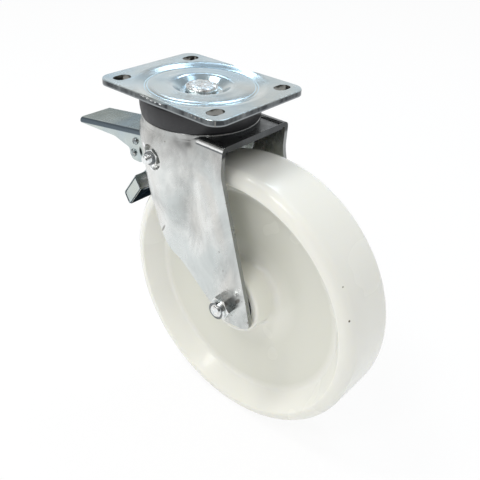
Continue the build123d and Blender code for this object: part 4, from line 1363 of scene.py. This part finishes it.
@dataclass(frozen=True)
class Studio:
    """Pale floor, white surroundings and soft lamps."""

    floor_z: float = -0.3
    floor_half: float = 8.0
    floor_tone: Colour = (0.95, 0.95, 0.95)
    seen_share: float = 0.90
    mirrored_share: float = 0.55
    ambient: float = 0.66
    # height and grey of the surroundings as metal mirrors them, from the horizon up
    sky: tuple[Pair, ...] = ((0.0, 1.0), (0.28, 0.92), (0.52, 0.56), (0.70, 0.42), (1.0, 0.50))
    cards: tuple[Card, ...] = (
        Card((-0.43, 0.44, 0.79), 0.92, 0.975, 0.03),
        Card((-0.64, -0.74, 0.17), 0.72, 0.93, 0.10),
    )
    lamps: tuple[Softbox, ...] = (
        Softbox("key", (-0.96, -0.07, 1.15), AT_FORK, 0.45, 4.0),
        Softbox("top", (-0.39, 0.60, 1.32), AT_FORK, 0.5, 8.5),
        Softbox("window_near", (1.05, 0.32, 1.30), AT_PLATE, 0.42, 3.4, (0.70, 0.85, 1.0)),
        Softbox("window_mid", (0.98, 0.64, 1.24), AT_PLATE, 0.26, 1.2, (0.62, 0.80, 1.0)),
        Softbox("window_far", (0.84, 1.03, 1.03), AT_PLATE, 0.26, 1.2, (0.70, 0.85, 1.0)),
        Softbox("window_back", (0.55, -0.30, 1.50), AT_PLATE, 0.40, 1.1, (0.62, 0.80, 1.0)),
    )

    def build(self) -> None:
        """Makes the floor, the lamps and the world."""
        bpy.context.scene.view_settings.view_transform = "Standard"
        self.floor()
        for lamp in self.lamps:
            lamp.build()
        self.world()

    def floor(self) -> None:
        """Lays the pale floor under the wheel."""
        mesh = bpy.data.meshes.new("floor")
        half = self.floor_half
        mesh.from_pydata([(-half, -half, 0), (half, -half, 0), (half, half, 0), (-half, half, 0)],
                         [], [(0, 1, 2, 3)])
        floor = bpy.data.objects.new("floor", mesh)
        floor.location.z = self.floor_z
        bpy.context.scene.collection.objects.link(floor)
        mesh.materials.append(self.floor_material())

    def floor_material(self) -> bpy.types.Material:
        """White floor that still shows the castor's shadow.

        Returns:
            The floor's material.
        """
        material = bpy.data.materials.new("pale floor")
        nodes = Nodes(material)
        rays = nodes.add("LightPath").outputs
        seen, mirrored, through = (
            nodes.math("MULTIPLY", rays[ray], share)
            for ray, share in (("Is Camera Ray", self.seen_share),
                               ("Is Glossy Ray", self.mirrored_share),
                               ("Is Transmission Ray", self.seen_share)))
        white = nodes.math("MAXIMUM", nodes.math("MAXIMUM", seen, mirrored), through)
        matt = nodes.add("BsdfDiffuse", {"Color": self.floor_tone}).outputs[0]
        glow = nodes.add("Emission", {"Color": WHITE}).outputs[0]
        nodes.add("OutputMaterial", {"Surface": nodes.layer(white, matt, glow)})
        return material

    def world(self) -> None:
        """White for the eye; for metal, white at the horizon under a darker ceiling."""
        world = bpy.data.worlds.new("studio")
        bpy.context.scene.world = world
        nodes = Nodes(world)
        shown, seen, mirrored = (
            nodes.add("Background", {"Color": colour, "Strength": strength}).outputs[0]
            for colour, strength in ((WHITE, self.ambient), (WHITE, 1.0),
                                     (self.ceiling(nodes), 1.0)))
        rays = nodes.add("LightPath").outputs
        for ray, layer in (("Is Glossy Ray", mirrored), ("Is Transmission Ray", seen),
                           ("Is Camera Ray", seen)):
            shown = nodes.layer(rays[ray], shown, layer)
        nodes.add("OutputWorld", {"Surface": shown})

    def ceiling(self, nodes: Nodes) -> Socket:
        """Grey of the surroundings: white at the horizon, darker overhead, with the cards.

        Args:
            nodes: The world's nodes.

        Returns:
            The socket of the grey.
        """
        heading = nodes.add("TexCoord").outputs["Generated"]
        ramp = nodes.add("ValToRGB", {"Fac": nodes.axis(heading, "Z")})
        ramp.color_ramp.interpolation = "EASE"
        while len(ramp.color_ramp.elements) < len(self.sky):
            ramp.color_ramp.elements.new(0.5)
        for element, (height, grey) in zip(ramp.color_ramp.elements, self.sky):
            element.position = height
            element.color = (grey, grey, grey, 1)
        shade = ramp.outputs["Color"]
        for card in self.cards:
            shade = card.hang(nodes, heading, shade)
        return shade


# ---------------------------------------------------------------- the castor
NODE_FINISH: dict[str, Finish] = {entry["node"]: Finish(entry["material_slot"])
                                  for entry in frame["record"]["subparts"]}
FITTINGS: tuple[Fitting, ...] = (
    Kingpin(),
    DustSeal(),
    CrossBolt(name="axle_bolt_threaded", node="axle_bolt", axle=(-66.0, -175.0), radius=6.0,
              pitch=1.75, end=-49.6, seat=36.6, across=19.0, head=7.5, turn=20.0),
    CrossBolt(name="pivot_bolt_threaded", node="pivot_bolt", axle=(9.6, -54.8), radius=4.0,
              pitch=1.25, end=-57.4, seat=44.0, across=13.0, head=5.3, turn=12.0),
    CrossRivets(),
    ReleasePad(),
    MouldedWheel(),
)


def main() -> None:
    """Builds the studio, dresses the castor's solids and adds its detailed pieces."""
    logging.basicConfig(level=logging.INFO, format="%(name)s: %(message)s")
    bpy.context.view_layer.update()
    Viewpoint().build()
    Studio().build()
    paints = Paintbox()
    for name, finish in NODE_FINISH.items():
        paints.dress(frame["nodes"][name].data, finish)
        LOG.info("dressed node %s", name)
    for fitting in FITTINGS:
        fitting.build(paints)
    bpy.context.view_layer.update()


if __name__ == "__main__":
    main()
